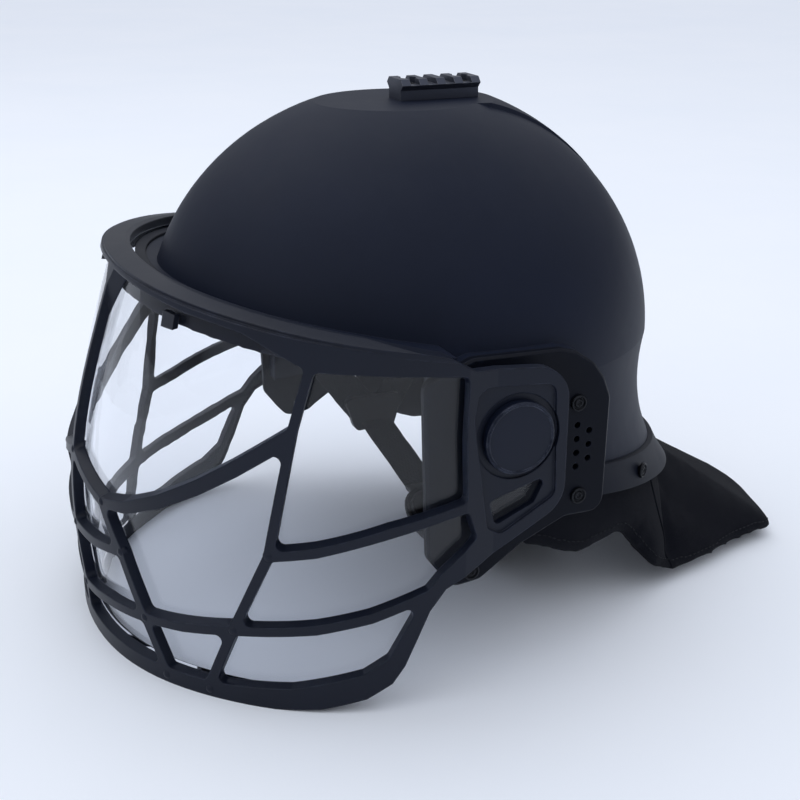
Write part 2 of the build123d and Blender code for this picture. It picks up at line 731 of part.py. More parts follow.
def window(places, margin=BAR_WIDTH / 2, corner=NODE_FILLET):
    """A cutter for one opening between bars, spreading from the visor's own centre line."""
    angles = [angle for angle, _ in places]
    heights = [z for _, z in places]
    middle = (min(angles) + max(angles)) / 2
    centre = Vector(0, VISOR_CENTRE_Y, (min(heights) + max(heights)) / 2)
    ahead = at_visor(middle, 1, 0) - at_visor(middle, 0, 0)
    across = at_visor(middle + 90, 1, 0) - at_visor(middle, 0, 0)
    distance = VISOR_HALF_WIDTH
    outline = []
    for angle, z in places:
        ray = at_visor(angle, radius_at(angle, z), z) - centre
        spread = distance / ray.dot(ahead)
        outline.append((ray.dot(across) * spread, ray.Z * spread))
    outline = inset_outline(outline, margin)
    face = make_face(Polyline(*outline, close=True))
    face = fillet(sharp_corners(face, outline), corner)
    faces = []
    for reach in (distance - OVERRUN, distance + OVERRUN):
        plane = Plane(origin=centre + ahead * reach, x_dir=across, z_dir=ahead)
        faces.append(plane * scale(face, by=reach / distance))
    return loft(faces, ruled=True)


def window_outlines():
    """Every opening on the wearer's left, as corner places on the visor's wall."""
    foot = RIM_HEIGHT - BAR_WIDTH / 2
    brow_under = [(a, z - BROW_THICK * a / BROW_HIGH[0]) for a, z in BROW_RISE]
    brow_end = (BROW_HIGH[0], BROW_HIGH[1] - BROW_THICK)
    top = [(a, flange_z(a)) for a in TOP_ANGLES]
    edge = LEG_EDGE
    return {
        "brow": [(0, CENTRE_NODE_Z), BROW_LOW, *BROW_RISE, BROW_HIGH, SIDE_TOP, *top],
        "cheek": [
            BROW_LOW, DIAGONAL_MID, DIAGONAL_LOW, FRONT_CROSS, SIDE_LOW, SIDE_MID,
            brow_end, *reversed(brow_under),
        ],
        "chin": [
            DIAGONAL_LOW, (DIAGONAL_FOOT[0], foot), (SIDE_FOOT[0], foot), SIDE_LOW, FRONT_CROSS,
        ],
        "nose": [(0, CENTRE_NODE_Z), (0, MID_CROSS_Z), MID_CROSS, DIAGONAL_MID, BROW_LOW],
        "mouth": [
            (0, MID_CROSS_Z), (0, LOW_CROSS_Z), LOW_CROSS, DIAGONAL_LOW, DIAGONAL_MID, MID_CROSS,
        ],
        "lip": [
            (0, LOW_CROSS_Z), (0, foot), (DIAGONAL_FOOT[0], foot), DIAGONAL_LOW, LOW_CROSS,
        ],
        "temple": [
            SIDE_TOP, BROW_HIGH, SIDE_MID, *UPPER_CROSS, UPPER_CROSS_END, *TEMPLE_EDGE,
        ],
        "jaw": [
            SIDE_MID, SIDE_LOW, *LOWER_CROSS, LOWER_CROSS_END, *JAW_EDGE, UPPER_CROSS_END,
            *reversed(UPPER_CROSS),
        ],
        "throat": [
            SIDE_LOW, (SIDE_FOOT[0], foot), *edge, LOWER_CROSS_END, *reversed(LOWER_CROSS),
        ],
    }


def visor_keep(margin=0.0):
    """The side view of the visor: flange line, pods, legs and bottom rim."""
    outline = inset_outline(VISOR_OUTLINE, margin)
    face = make_face(Polyline(*outline, close=True))
    rear = [v for v in face.vertices() if v.X > POD_FLAT_Y]
    face = fillet(rear, POD_CORNER - margin)
    return extrude(Plane.YZ * face, VISOR_HALF_WIDTH + OVERRUN)


def pod_cut(points, depth, corner):
    """A recess of a depth in the pod's outer face."""
    floor = POD_FACE_X - depth
    return side_prism(points, floor, POD_FACE_X + OVERRUN, corner)


def on_pivot(solid, x):
    """A piece made along +Z from the origin, laid along +X on the pivot axis at x."""
    return Pos(x, PIVOT_Y, PIVOT_Z) * Rot(0, 90, 0) * solid


def disc(radius, height):
    """A cylinder that stands on the origin."""
    return Cylinder(radius, height, align=(Align.CENTER, Align.CENTER, Align.MIN))


def below_flange(drop):
    """Everything under the flange's lower face, less a drop."""
    return tilted_slab(VISOR_CENTRE_Y, FLANGE_SIDE_Z - drop, FLANGE_SLOPE, 2 * FLANGE_SIDE_Z)


def make_flange():
    """Half of the flange: a ledge with an upright outer edge and a sloping top."""
    base = Plane((0, VISOR_CENTRE_Y, FLANGE_SIDE_Z), x_dir=(1, 0, 0), z_dir=(0, FLANGE_SLOPE, 1))
    rear = POD_FLAT_Y - VISOR_CENTRE_Y + BAR_WIDTH
    outer = plan_half(
        FLANGE_HALF_WIDTH, FLANGE_REACH, FLANGE_HALF_WIDTH, rear, FLANGE_ROUNDNESS
    )
    top = plan_half(
        FLANGE_INNER_HALF_WIDTH + FLANGE_LAND,
        FLANGE_INNER_REACH + FLANGE_LAND,
        FLANGE_INNER_HALF_WIDTH + FLANGE_LAND,
        rear,
        FLANGE_ROUNDNESS,
    )
    inner = plan_half(
        FLANGE_INNER_HALF_WIDTH, FLANGE_INNER_REACH, FLANGE_INNER_HALF_WIDTH, rear + OVERRUN, 2
    )
    edge = loft([base * outer, base.offset(FLANGE_EDGE) * outer])
    slope = loft([base.offset(FLANGE_EDGE) * outer, base.offset(FLANGE_THICKNESS) * top])
    hole = extrude(base.offset(-OVERRUN) * inner, 2 * OVERRUN, dir=base.z_dir)
    return edge + slope - hole


def make_cage():
    """Visor frame: flange, wall cut into bars, pods and bottom rim, moulded as one."""
    keep = visor_keep()
    wall = visor_layer(0, VISOR_WALL) & keep & below_flange(-FLANGE_EDGE / 2)
    for places in window_outlines().values():
        wall = wall - window(places)
    rim_zone = Pos(0, VISOR_CENTRE_Y, 0) * Cylinder(
        VISOR_HALF_WIDTH + OVERRUN, RIM_HEIGHT, align=(Align.CENTER, Align.CENTER, Align.MIN)
    )
    rim = visor_layer(0, RIM_DEPTH) & keep & rim_zone
    frame = fuse(wall, make_flange() & keep, rim)
    frame = frame - pod_cut(POD_RECESS_OUTLINE, POD_RECESS, POD_RECESS_CORNER)
    frame = frame - pod_cut(POD_WINDOW_OUTLINE, VISOR_WALL + OVERRUN, POD_WINDOW_CORNER)
    frame = frame - on_pivot(disc(POD_RECESS_RADIUS, OVERRUN), POD_FACE_X - POD_SEAT_DEPTH)
    bore = disc(BUSH_RADIUS + SHAFT_GAP, 2 * OVERRUN)
    return whole(frame - on_pivot(bore, POD_FACE_X - OVERRUN))


def make_lens():
    """Clear lens inside the frame, with ears on the pivots."""
    floor = Pos(0, VISOR_CENTRE_Y, LENS_BOTTOM_Z) * Box(
        4 * VISOR_HALF_WIDTH,
        4 * VISOR_HALF_WIDTH,
        2 * FLANGE_SIDE_Z,
        align=(Align.CENTER, Align.CENTER, Align.MIN),
    )
    half = visor_layer(LENS_INSET, LENS_INSET + LENS_THICKNESS)
    half = half & visor_keep(LENS_MARGIN) & below_flange(BODY_GAP) & floor
    bore = disc(BUSH_RADIUS + SHAFT_GAP, 2 * OVERRUN)
    return whole(half - on_pivot(bore, POD_FACE_X - OVERRUN))


def make_seal():
    """Soft strip along the lens's upper edge, on its inner face."""
    inset = LENS_INSET + LENS_THICKNESS + BODY_GAP
    band = tilted_slab(VISOR_CENTRE_Y, FLANGE_SIDE_Z - BODY_GAP, FLANGE_SLOPE, SEAL_HEIGHT)
    front = Pos(0, SEAL_END_Y, 0) * Box(
        4 * VISOR_HALF_WIDTH,
        4 * VISOR_HALF_WIDTH,
        4 * FLANGE_SIDE_Z,
        align=(Align.CENTER, Align.MAX, Align.CENTER),
    )
    return whole(visor_layer(inset, inset + SEAL_THICKNESS) & band & front)


def make_clips():
    """Two clips under the flange that hold the lens's upper edge."""
    place = at_visor(CLIP_ANGLE, 0, flange_z(CLIP_ANGLE))
    block = Pos(*place) * Rot(0, 0, CLIP_ANGLE) * Box(
        CLIP_WIDTH,
        2 * VISOR_HALF_WIDTH,
        2 * CLIP_HEIGHT,
        align=(Align.CENTER, Align.MAX, Align.CENTER),
    )
    form = visor_layer(LENS_INSET - BODY_GAP - CLIP_PROUD, LENS_INSET - BODY_GAP)
    return both(form & block & below_flange(BAR_WIDTH))


def make_plate():
    """Hinge plate of the wearer's left: a flat plate with a boss and ear holes."""
    plate = side_prism(PLATE_OUTLINE, PLATE_INNER_X, PLATE_OUTER_X, PLATE_CORNER)
    face = plate.faces().sort_by(Axis.X)[-1]
    plate = chamfer(face.outer_wire().edges(), PLATE_EDGE)
    boss = on_pivot(disc(PLATE_BOSS_RADIUS, WASHER_X - PLATE_OUTER_X), PLATE_OUTER_X)
    plate = plate + boss - cross_bore(PIVOT_Y, PIVOT_Z, STUD_RADIUS + SHAFT_GAP)
    for y, z in [*PLATE_SCREWS, TAB_SCREW]:
        plate = plate - cross_bore(y, z, SCREW_RADIUS + SHAFT_GAP)
    for column, count, start in ((0, 4, 0.0), (1, 3, 0.5)):
        for index in range(count):
            y = EAR_HOLE_Y + column * EAR_COLUMN_STEP
            z = EAR_HOLE_TOP_Z - (index + start) * EAR_HOLE_PITCH
            plate = plate - cross_bore(y, z, EAR_HOLE_RADIUS)
    return plate


def on_plate(piece, y, z, x=PLATE_OUTER_X):
    """A piece made along -Z from the origin, laid inwards from the plate's face."""
    return Pos(x, y, z) * Rot(0, 90, 0) * piece


def make_plate_screws():
    """Three screws on each side; the lowest one has a nut behind the plate's tab."""
    pieces = [on_plate(screw(PLATE_SCREW_LENGTH), y, z) for y, z in PLATE_SCREWS]
    pieces.append(on_plate(screw(TAB_SCREW_LENGTH), *TAB_SCREW))
    hexagon = RegularPolygon(NUT_RADIUS, 6)
    nut = extrude(hexagon, -NUT_HEIGHT) - Cylinder(SCREW_RADIUS + SHAFT_GAP, OVERRUN)
    pieces.append(on_plate(nut, *TAB_SCREW, PLATE_INNER_X))
    mirrored = []
    for piece in pieces:
        mirrored.extend(both(piece))
    return mirrored


def make_stud():
    """Pivot stud: a flange inside the shell and a round shank out to the knob."""
    inner_face = wall_half_width(PIVOT_Y - STUD_FLANGE_RADIUS) - STUD_SEAT_GAP
    flange = on_pivot(disc(STUD_FLANGE_RADIUS, STUD_FLANGE_THICKNESS), inner_face)
    flange = Pos(-STUD_FLANGE_THICKNESS, 0, 0) * flange
    end = POD_FACE_X - POD_SEAT_DEPTH + STUD_END
    return flange + on_pivot(disc(STUD_RADIUS, end - inner_face), inner_face)


def make_washer():
    """Friction washer between the plate's boss and the bush."""
    ring = disc(WASHER_RADIUS, WASHER_THICKNESS) - disc(STUD_RADIUS + SHAFT_GAP, OVERRUN)
    return on_pivot(ring, WASHER_X)


def make_bush():
    """Flanged bush that carries the visor on the stud."""
    barrel_end = POD_FACE_X - POD_SEAT_DEPTH
    flange_x = LENS_INNER_X - BUSH_FLANGE
    bush = disc(BUSH_FLANGE_RADIUS, BUSH_FLANGE) + disc(BUSH_RADIUS, barrel_end - flange_x)
    return on_pivot(bush - disc(STUD_RADIUS + SHAFT_GAP, OVERRUN), flange_x)


def make_knob():
    """Dished knob on the stud's end, in the round seat of the pod."""
    low = POD_FACE_X - POD_SEAT_DEPTH + BODY_GAP
    knob = chamfer(disc(KNOB_RADIUS, KNOB_HEIGHT).edges().sort_by(Axis.Z)[-1], KNOB_EDGE)
    dish = Pos(0, 0, KNOB_HEIGHT - KNOB_DISH) * disc(KNOB_RADIUS - KNOB_RIM, OVERRUN)
    socket = disc(STUD_RADIUS + SHAFT_GAP, STUD_END)
    return on_pivot(knob - dish - socket, low)


def wall_normal_place(angle, inset):
    """A place halfway up the rim band at an angle round the rear, and the heading there."""
    (x, y), flare = wall_place(1 - abs(angle - 90) / 90, inset)
    half_width = DOME_HALF_WIDTH + FLARE_SIDE * flare
    half_length = waist_length(0) + FLARE_REAR / 2 * flare
    centre_y = DOME_Y + FLARE_REAR / 2 * flare
    heading = Vector(x / half_width**2, (y - centre_y) / half_length**2, 0).normalized()
    side = -1 if angle > 90 else 1
    z = rim_z(y) + RIM_BAND_HEIGHT / 2
    return Vector(side * x, y, z), Vector(side * heading.X, heading.Y, 0)


def rim_screws(radius, head_radius=0.0):
    """Screws, or with no head their bores, through the rim band and the shell."""
    pieces = []
    for angle in RIM_SCREW_ANGLES:
        place, heading = wall_normal_place(angle, -RIM_BAND_THICKNESS)
        plane = Plane(place, z_dir=heading)
        piece = Cylinder(radius, OVERRUN) if head_radius == 0 else screw(RIM_SCREW_LENGTH)
        pieces.append(plane * piece)
    return pieces


def make_liner():
    """Impact foam inside the shell."""
    keep = side_prism(LINER_OUTLINE, -2 * DOME_HALF_WIDTH, 2 * DOME_HALF_WIDTH)
    return layer(LINER_INSET, LINER_THICKNESS) & keep


def make_crown_pad():
    """Soft pad at the top of the liner."""
    plug = Pos(0, DOME_Y, DOME_Z) * extrude(
        Ellipse(CROWN_PAD_HALF_WIDTH, CROWN_PAD_HALF_LENGTH), DOME_HEIGHT
    )
    return layer(PAD_INSET, PAD_THICKNESS) & plug


def make_brow_pad():
    """Soft pad over the forehead, between liner and headband."""
    keep = side_prism(BROW_PAD_OUTLINE, -2 * DOME_HALF_WIDTH, 2 * DOME_HALF_WIDTH)
    return layer(PAD_INSET, PAD_THICKNESS) & keep


def rear_box(half_width, low_z, high_z):
    """A block behind the dome's middle, between two heights."""
    return Pos(0, DOME_Y, low_z) * Box(
        2 * half_width,
        2 * DOME_HALF_LENGTH,
        high_z - low_z,
        align=(Align.CENTER, Align.MIN, Align.MIN),
    )


def make_nape_pad():
    """Soft pad between the liner and the cradle."""
    keep = rear_box(NAPE_PAD_HALF_WIDTH, NAPE_PAD_LOW_Z, NAPE_PAD_HIGH_Z)
    return layer(PAD_INSET, NAPE_PAD_THICKNESS) & keep


def make_headband():
    """Band round the head, lower at the nape."""
    slab = tilted_slab(DOME_Y, HEADBAND_Z, HEADBAND_SLOPE, HEADBAND_HEIGHT)
    return layer(HEADBAND_INSET, HEADBAND_THICKNESS) & slab


def dial_seat_y():
    """Where the cradle's boss ends and the dial starts."""
    return DOME_Y + waist_length(CRADLE_INSET) + DIAL_BOSS_HEIGHT


def at_dial(solid, y):
    """A piece made along +Z from the origin, laid rearwards on the dial's axis."""
    return Pos(0, y, DIAL_Z) * Rot(-90, 0, 0) * solid


def make_cradle():
    """Nape cradle on the headband, with the boss that carries the dial."""
    keep = rear_box(CRADLE_HALF_WIDTH, CRADLE_LOW_Z, CRADLE_HIGH_Z)
    edges = keep.edges().filter_by(Axis.Y)
    plate = layer(CRADLE_INSET, CRADLE_THICKNESS) & fillet(edges, CRADLE_CORNER)
    boss_y = dial_seat_y() - DIAL_BOSS_HEIGHT - CRADLE_THICKNESS / 2
    boss = at_dial(disc(DIAL_BOSS_RADIUS, dial_seat_y() - boss_y), boss_y)
    bore = at_dial(Cylinder(DIAL_SHAFT_RADIUS + SHAFT_GAP, OVERRUN), dial_seat_y())
    return plate + boss - bore


def make_dial():
    """Ratchet dial with grip flutes and a shaft into the cradle's boss."""
    body = disc(DIAL_RADIUS, DIAL_THICKNESS)
    body = chamfer(body.edges().sort_by(Axis.Z)[-1], KNOB_EDGE)
    for index in range(DIAL_GRIPS):
        flute = Cylinder(DIAL_GRIP_RADIUS, OVERRUN)
        body = body - Rot(0, 0, index * 360 / DIAL_GRIPS) * Pos(DIAL_RADIUS, 0, 0) * flute
    shaft = Pos(0, 0, -DIAL_BOSS_HEIGHT) * disc(DIAL_SHAFT_RADIUS, DIAL_BOSS_HEIGHT + BODY_GAP)
    return at_dial(body + shaft, dial_seat_y() + BODY_GAP)


def make_ear_pad():
    """Soft pad inside the ear flap."""
    keep = side_prism(EAR_PAD_OUTLINE, 0, 2 * DOME_HALF_WIDTH, EAR_PAD_CORNER)
    return layer(LINER_INSET, EAR_PAD_THICKNESS) & keep


def strap(start, end, width=STRAP_WIDTH):
    """A flat strap between two points, its width lying along the helmet's side."""
    start = Vector(*start)
    along = Vector(*end) - start
    start = start - along.normalized() * STRAP_TAIL
    along = Vector(*end) - start
    outward = Vector(1, 0, 0)
    across = along.cross(outward).normalized()
    plane = Plane(start, x_dir=across, z_dir=along)
    return extrude(plane * Rectangle(width, STRAP_THICKNESS), along.length, dir=along)


def join_block(grow=0.0):
    """The Y shaped adjuster where the straps of one side meet."""
    outline = inset_outline(JOIN_OUTLINE, -grow)
    half = JOIN_THICKNESS / 2 + grow
    return side_prism(outline, JOIN_X - half, JOIN_X + half, JOIN_CORNER)


def anchor_point(place):
    """Where a strap's end lies against the shell's inner wall."""
    y, z = place
    nearest = min(wall_half_width(y - STRAP_WIDTH / 2), wall_half_width(y + STRAP_WIDTH / 2))
    return (nearest - ANCHOR_STANDOFF, y, z)


def rivet(place):
    """A rivet from the strap's inner side to the shell's wall."""
    x, y, z = anchor_point(place)
    nearest = min(wall_half_width(y - RIVET_RADIUS), wall_half_width(y + RIVET_RADIUS))
    shank_end = nearest - BODY_GAP
    head = Pos(x, y, z) * Rot(0, 90, 0) * Pos(0, 0, -2 * RIVET_HEAD) * disc(RIVET_RADIUS, RIVET_HEAD)
    shank = disc(RIVET_SHANK_RADIUS, shank_end - x + RIVET_HEAD)
    return head + Pos(x - RIVET_HEAD, y, z) * Rot(0, 90, 0) * shank


def anchored_strap(place, join):
    """A strap from its rivet to the join."""
    piece = strap(anchor_point(place), (JOIN_X, *join))
    hole = cross_bore(*place, RIVET_SHANK_RADIUS + SHAFT_GAP)
    head_room = Pos(*anchor_point(place)) * Rot(0, 90, 0) * Pos(0, 0, -2 * RIVET_HEAD) * disc(
        RIVET_RADIUS + BODY_GAP, RIVET_HEAD
    )
    return piece - hole - join_block(BODY_GAP) - head_room


def cup_end():
    """Where the chin strap of the wearer's left meets the cup's lug."""
    return (CUP_HALF_WIDTH + LUG_LENGTH / 2, CUP_Y, CUP_RIM_Z - LUG_HEIGHT / 2)


def chin_frame():
    """The buckle's frame on the line from the join to the cup."""
    start = Vector(JOIN_X, *JOIN_LOW)
    along = Vector(*cup_end()) - start
    across = Vector(0, 1, 0) - along * (along.Y / along.dot(along))
    origin = start + along * BUCKLE_PLACE_SHARE
    return Plane(origin, x_dir=along, z_dir=along.cross(across))


def chin_strap():
    """The whole strap from the join to the cup, trimmed by the join."""
    start = Vector(JOIN_X, *JOIN_LOW)
    along = Vector(*cup_end()) - start
    frame = chin_frame()
    plane = Plane(start, x_dir=frame.y_dir, z_dir=along)
    piece = extrude(plane * Rectangle(STRAP_WIDTH, STRAP_THICKNESS), along.length, dir=along)
    lug = Pos(CUP_HALF_WIDTH, CUP_Y, CUP_RIM_Z + BODY_GAP) * Box(
        LUG_LENGTH + 2 * BODY_GAP,
        LUG_WIDTH + 2 * BODY_GAP,
        LUG_HEIGHT + 2 * BODY_GAP,
        align=(Align.CENTER, Align.CENTER, Align.MAX),
    )
    return (piece - join_block(BODY_GAP) - lug).solids().sort_by(SortBy.VOLUME)[-1]


def buckle_zone(grow=0.0):
    """The space of the whole buckle, tongue bar included."""
    length = BUCKLE_LENGTH + TONGUE_BAR + 2 * grow
    middle = -TONGUE_BAR / 2
    zone = Pos(middle, 0, 0) * Box(length, BUCKLE_WIDTH + 2 * grow, BUCKLE_HEIGHT + 2 * grow)
    return chin_frame() * zone


def make_buckle_body():
    """Buckle body with a slot for the tongue and a pocket for the button."""
    body = Box(BUCKLE_LENGTH, BUCKLE_WIDTH, BUCKLE_HEIGHT)
    body = fillet(body.edges().filter_by(Axis.Z), BUCKLE_CORNER)
    slot = Pos(-BUCKLE_LENGTH / 2, 0, TONGUE_SLOT_Z) * Box(
        2 * (TONGUE_REACH + BODY_GAP), TONGUE_WIDTH + BODY_GAP, TONGUE_THICKNESS + BODY_GAP
    )
    top = BUCKLE_HEIGHT / 2
    depth = BUTTON_HEIGHT - BUTTON_PROUD + BUTTON_TRAVEL + BODY_GAP
    pocket = Pos(0, 0, top) * Box(
        BUTTON_LENGTH + 2 * BUTTON_GAP, BUTTON_WIDTH + 2 * BUTTON_GAP, 2 * depth
    )
    return chin_frame() * (body - slot - pocket)


def make_buckle_tongue():
    """Tongue with the bar that holds the upper strap."""
    reach = TONGUE_REACH + TONGUE_BAR / 2
    blade = Pos(-BUCKLE_LENGTH / 2 + TONGUE_REACH, 0, TONGUE_SLOT_Z) * Box(
        reach, TONGUE_WIDTH, TONGUE_THICKNESS, align=(Align.MAX, Align.CENTER, Align.CENTER)
    )
    bar = Pos(-BUCKLE_LENGTH / 2 - BODY_GAP, 0, 0) * Box(
        TONGUE_BAR - BODY_GAP, BUCKLE_WIDTH, BUCKLE_HEIGHT,
        align=(Align.MAX, Align.CENTER, Align.CENTER),
    )
    bar = fillet(bar.edges().filter_by(Axis.Y), BUCKLE_CORNER)
    return chin_frame() * (blade + bar)


def make_button():
    """Release button, which travels into the buckle body."""
    low = BUCKLE_HEIGHT / 2 - BUTTON_HEIGHT + BUTTON_PROUD
    button = Pos(0, 0, low) * Box(
        BUTTON_LENGTH, BUTTON_WIDTH, BUTTON_HEIGHT, align=(Align.CENTER, Align.CENTER, Align.MIN)
    )
    return chin_frame() * button


def cup_form(inset):
    """The lower half of a stretched ball, smaller all round by the inset."""
    sizes = (CUP_HALF_WIDTH - inset, CUP_HALF_LENGTH - inset, CUP_DEPTH - inset)
    ball = scale(Sphere(1), by=sizes)
    lower = Box(
        2 * CUP_HALF_WIDTH, 2 * CUP_HALF_LENGTH, CUP_DEPTH,
        align=(Align.CENTER, Align.CENTER, Align.MAX),
    )
    return Pos(0, CUP_Y, CUP_RIM_Z) * (ball & lower)


def make_cup():
    """Chin cup with a lug at each end."""
    lug = Pos(CUP_HALF_WIDTH, CUP_Y, CUP_RIM_Z) * Box(
        LUG_LENGTH, LUG_WIDTH, LUG_HEIGHT, align=(Align.CENTER, Align.CENTER, Align.MAX)
    )
    return fuse(cup_form(0), *both(lug)) - cup_form(CUP_WALL)


def make_cup_pad():
    """Soft lining of the chin cup."""
    inset = CUP_WALL + BODY_GAP
    return cup_form(inset) - cup_form(inset + CUP_PAD_THICKNESS)


def neck_station(quarter_share, hem_x, hem_y, hem_z):
    """One upright section of the neck guard: inside the rim, then out to its hem."""
    (x, y), flare = wall_place(quarter_share, SHELL_WALL + NECK_GAP)
    bend_z = rim_z(y)
    outward = Vector(hem_x - x, hem_y - y, 0)
    heading = Vector(x, y - DOME_Y, 0).normalized()
    if outward.length > NECK_LEAD:
        heading = outward.normalized()
    reach = outward.dot(heading)
    fall = hem_z - bend_z
    slant = hypot(reach, fall)
    flare_rate = (FLARE_SIDE + (FLARE_REAR - FLARE_SIDE) * quarter_share**2) / (WAIST_Z - FLARE_Z)
    top = (-NECK_GRIP * max(flare_rate, 0) - NECK_GAP, bend_z + NECK_GRIP)
    bend = (-NECK_GAP, bend_z)
    hem = (reach, hem_z)
    inner_hem = (reach + fall / slant * NECK_THICKNESS, hem_z - reach / slant * NECK_THICKNESS)
    inner_bend = (-NECK_THICKNESS - NECK_GAP, bend_z - reach / slant * NECK_THICKNESS)
    inner_top = (top[0] - NECK_THICKNESS, top[1])
    plane = Plane((x, y, 0), x_dir=heading, z_dir=heading.cross(Vector(0, 0, 1)))
    outline = Polyline(top, bend, hem, inner_hem, inner_bend, inner_top, close=True)
    return plane * make_face(outline)


def make_neck_guard():
    """Padded cloth guard that hangs from the rim and lies out over the floor behind."""
    sections = [neck_station(*station) for station in NECK_STATIONS]
    above = Box(
        4 * RIM_REAR_Y, 4 * RIM_REAR_Y, 2 * DOME_Z, align=(Align.CENTER, Align.CENTER, Align.MIN)
    )
    half = loft(sections, ruled=True) & above
    grip = RIM_BAND_THICKNESS + BODY_GAP
    wall = layer(-grip, grip + SHELL_WALL + BODY_GAP) & tilted_slab(
        RIM_SIDE_Y, EAR_EDGE_Z + DOME_Z, RIM_DROP, DOME_Z + NECK_GAP
    )
    return whole((half - wall).solids().sort_by(SortBy.VOLUME)[-1])


if __name__ == "__main__":
    os.makedirs("parts", exist_ok=True)
    write("shell", make_shell())
    write("accessory_rail", make_rail())
    write("rail_screws", *make_rail_screws())
    write("brim_trim", make_trim())
    write("rear_rim_band", make_rim_band())
    write("rim_band_screws", *rim_screws(SCREW_RADIUS, SCREW_HEAD_RADIUS))
    write("impact_liner", make_liner())
    write("crown_pad", make_crown_pad())
    write("brow_pad", make_brow_pad())
    write("nape_pad", make_nape_pad())
    write("headband", make_headband())
    write("nape_cradle", make_cradle())
    write("size_dial", make_dial())
    write("neck_guard", make_neck_guard())
    for node, piece in {
        "ear_pad": make_ear_pad(),
        "hinge_plate": make_plate(),
        "pivot_stud": make_stud(),
        "pivot_knob": make_knob(),
        "visor_bush": make_bush(),
        "front_strap": anchored_strap(FRONT_ANCHOR, FRONT_JOIN),
        "rear_strap": anchored_strap(REAR_ANCHOR, REAR_JOIN),
    }.items():
        left, right = both(piece)
        write(node + "_left", left)
        write(node + "_right", right)
    write("plate_screws", *make_plate_screws())
    write("friction_washers", *both(make_washer()))
    write("strap_rivets", *both(rivet(FRONT_ANCHOR)), *both(rivet(REAR_ANCHOR)))
    write("strap_adjusters", *both(join_block()))
    write("chin_strap_right", mirror(chin_strap(), about=Plane.YZ))
    left_pieces = (chin_strap() - buckle_zone(BODY_GAP)).solids().sort_by(SortBy.VOLUME)[-2:]
    lower, upper = left_pieces.sort_by(Axis.X)
    write("chin_strap_left", lower)
    write("buckle_strap", upper)
    write("buckle_body", make_buckle_body())
    write("buckle_tongue", make_buckle_tongue())
    write("release_button", make_button())
    write("chin_cup", make_cup())
    write("chin_cup_pad", make_cup_pad())
    write("visor_cage", make_cage())
    write("visor_lens", make_lens())
    write("lens_top_seal", make_seal())
    write("lens_clips", *make_clips())
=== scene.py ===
"""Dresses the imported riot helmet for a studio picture.

The helmet stands on a pale floor: a matt shell with an accessory rail, a hinged
visor of moulded bars with a clear lens behind them, hinge plates, a padded neck
guard, and the liner and chin strap inside.
"""

import json
import logging
import math
from dataclasses import dataclass, field
from enum import Enum
from typing import Callable, Iterable, Sequence

import bmesh
import bpy
import numpy as np
from mathutils import Matrix, Vector
from mathutils.bvhtree import BVHTree

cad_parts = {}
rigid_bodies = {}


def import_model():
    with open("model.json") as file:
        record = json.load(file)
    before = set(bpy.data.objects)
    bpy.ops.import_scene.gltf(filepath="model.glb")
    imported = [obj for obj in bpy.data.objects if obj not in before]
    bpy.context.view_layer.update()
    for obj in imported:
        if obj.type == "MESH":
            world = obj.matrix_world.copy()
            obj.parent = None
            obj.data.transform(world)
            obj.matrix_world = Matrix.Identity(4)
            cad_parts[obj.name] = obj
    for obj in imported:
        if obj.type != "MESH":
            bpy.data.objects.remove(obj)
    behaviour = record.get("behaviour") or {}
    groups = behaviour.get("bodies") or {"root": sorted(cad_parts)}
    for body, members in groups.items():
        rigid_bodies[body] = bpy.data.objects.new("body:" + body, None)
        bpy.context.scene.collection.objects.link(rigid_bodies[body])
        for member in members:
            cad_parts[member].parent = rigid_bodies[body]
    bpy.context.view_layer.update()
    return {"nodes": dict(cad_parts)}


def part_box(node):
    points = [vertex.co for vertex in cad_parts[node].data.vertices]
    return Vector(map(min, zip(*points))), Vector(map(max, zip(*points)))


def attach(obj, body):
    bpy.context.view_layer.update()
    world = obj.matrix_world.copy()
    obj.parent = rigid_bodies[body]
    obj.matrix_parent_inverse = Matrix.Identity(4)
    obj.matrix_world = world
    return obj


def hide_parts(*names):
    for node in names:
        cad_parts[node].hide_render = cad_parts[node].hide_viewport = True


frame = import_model()
LOG = logging.getLogger("helmet")

Colour = tuple[float, float, float, float]
Point = tuple[float, float, float]
Span = tuple[float, float]
Socket = bpy.types.NodeSocket
Sockets = bpy.types.bpy_prop_collection
Node = bpy.types.Node
Tree = bpy.types.NodeTree
Piece = bpy.types.Object
Work = bmesh.types.BMesh
Vert = bmesh.types.BMVert
FLOAT = "NodeSocketFloat"
VECTOR = "NodeSocketVector"


def tint(red: int, green: int, blue: int) -> Colour:
    """A colour written as screen values, as the shader wants it.

    Args:
        red: Screen value from 0 to 255.
        green: Screen value from 0 to 255.
        blue: Screen value from 0 to 255.

    Returns:
        The linear colour with full opacity.
    """
    shades = []
    for value in (red, green, blue):
        share = value / 255
        shades.append(share / 12.92 if share <= 0.04045 else ((share + 0.055) / 1.055) ** 2.4)
    return (shades[0], shades[1], shades[2], 1.0)


class Slot(Enum):
    """Material slots of the record, named when new pieces are placed."""

    SCREW = "screw_steel"
    EDGE = "edge_rubber"
    CAGE = "cage_plastic"
    KNOB = "knob_plastic"
    CUP = "cup_plastic"
    PAD = "pad_fabric"
    GUARD = "guard_fabric"
    WEBBING = "webbing"


class Body(Enum):
    """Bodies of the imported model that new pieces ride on."""

    HELMET = "helmet"
    VISOR = "visor"
    KNOB_LEFT = "knob_left"
    KNOB_RIGHT = "knob_right"


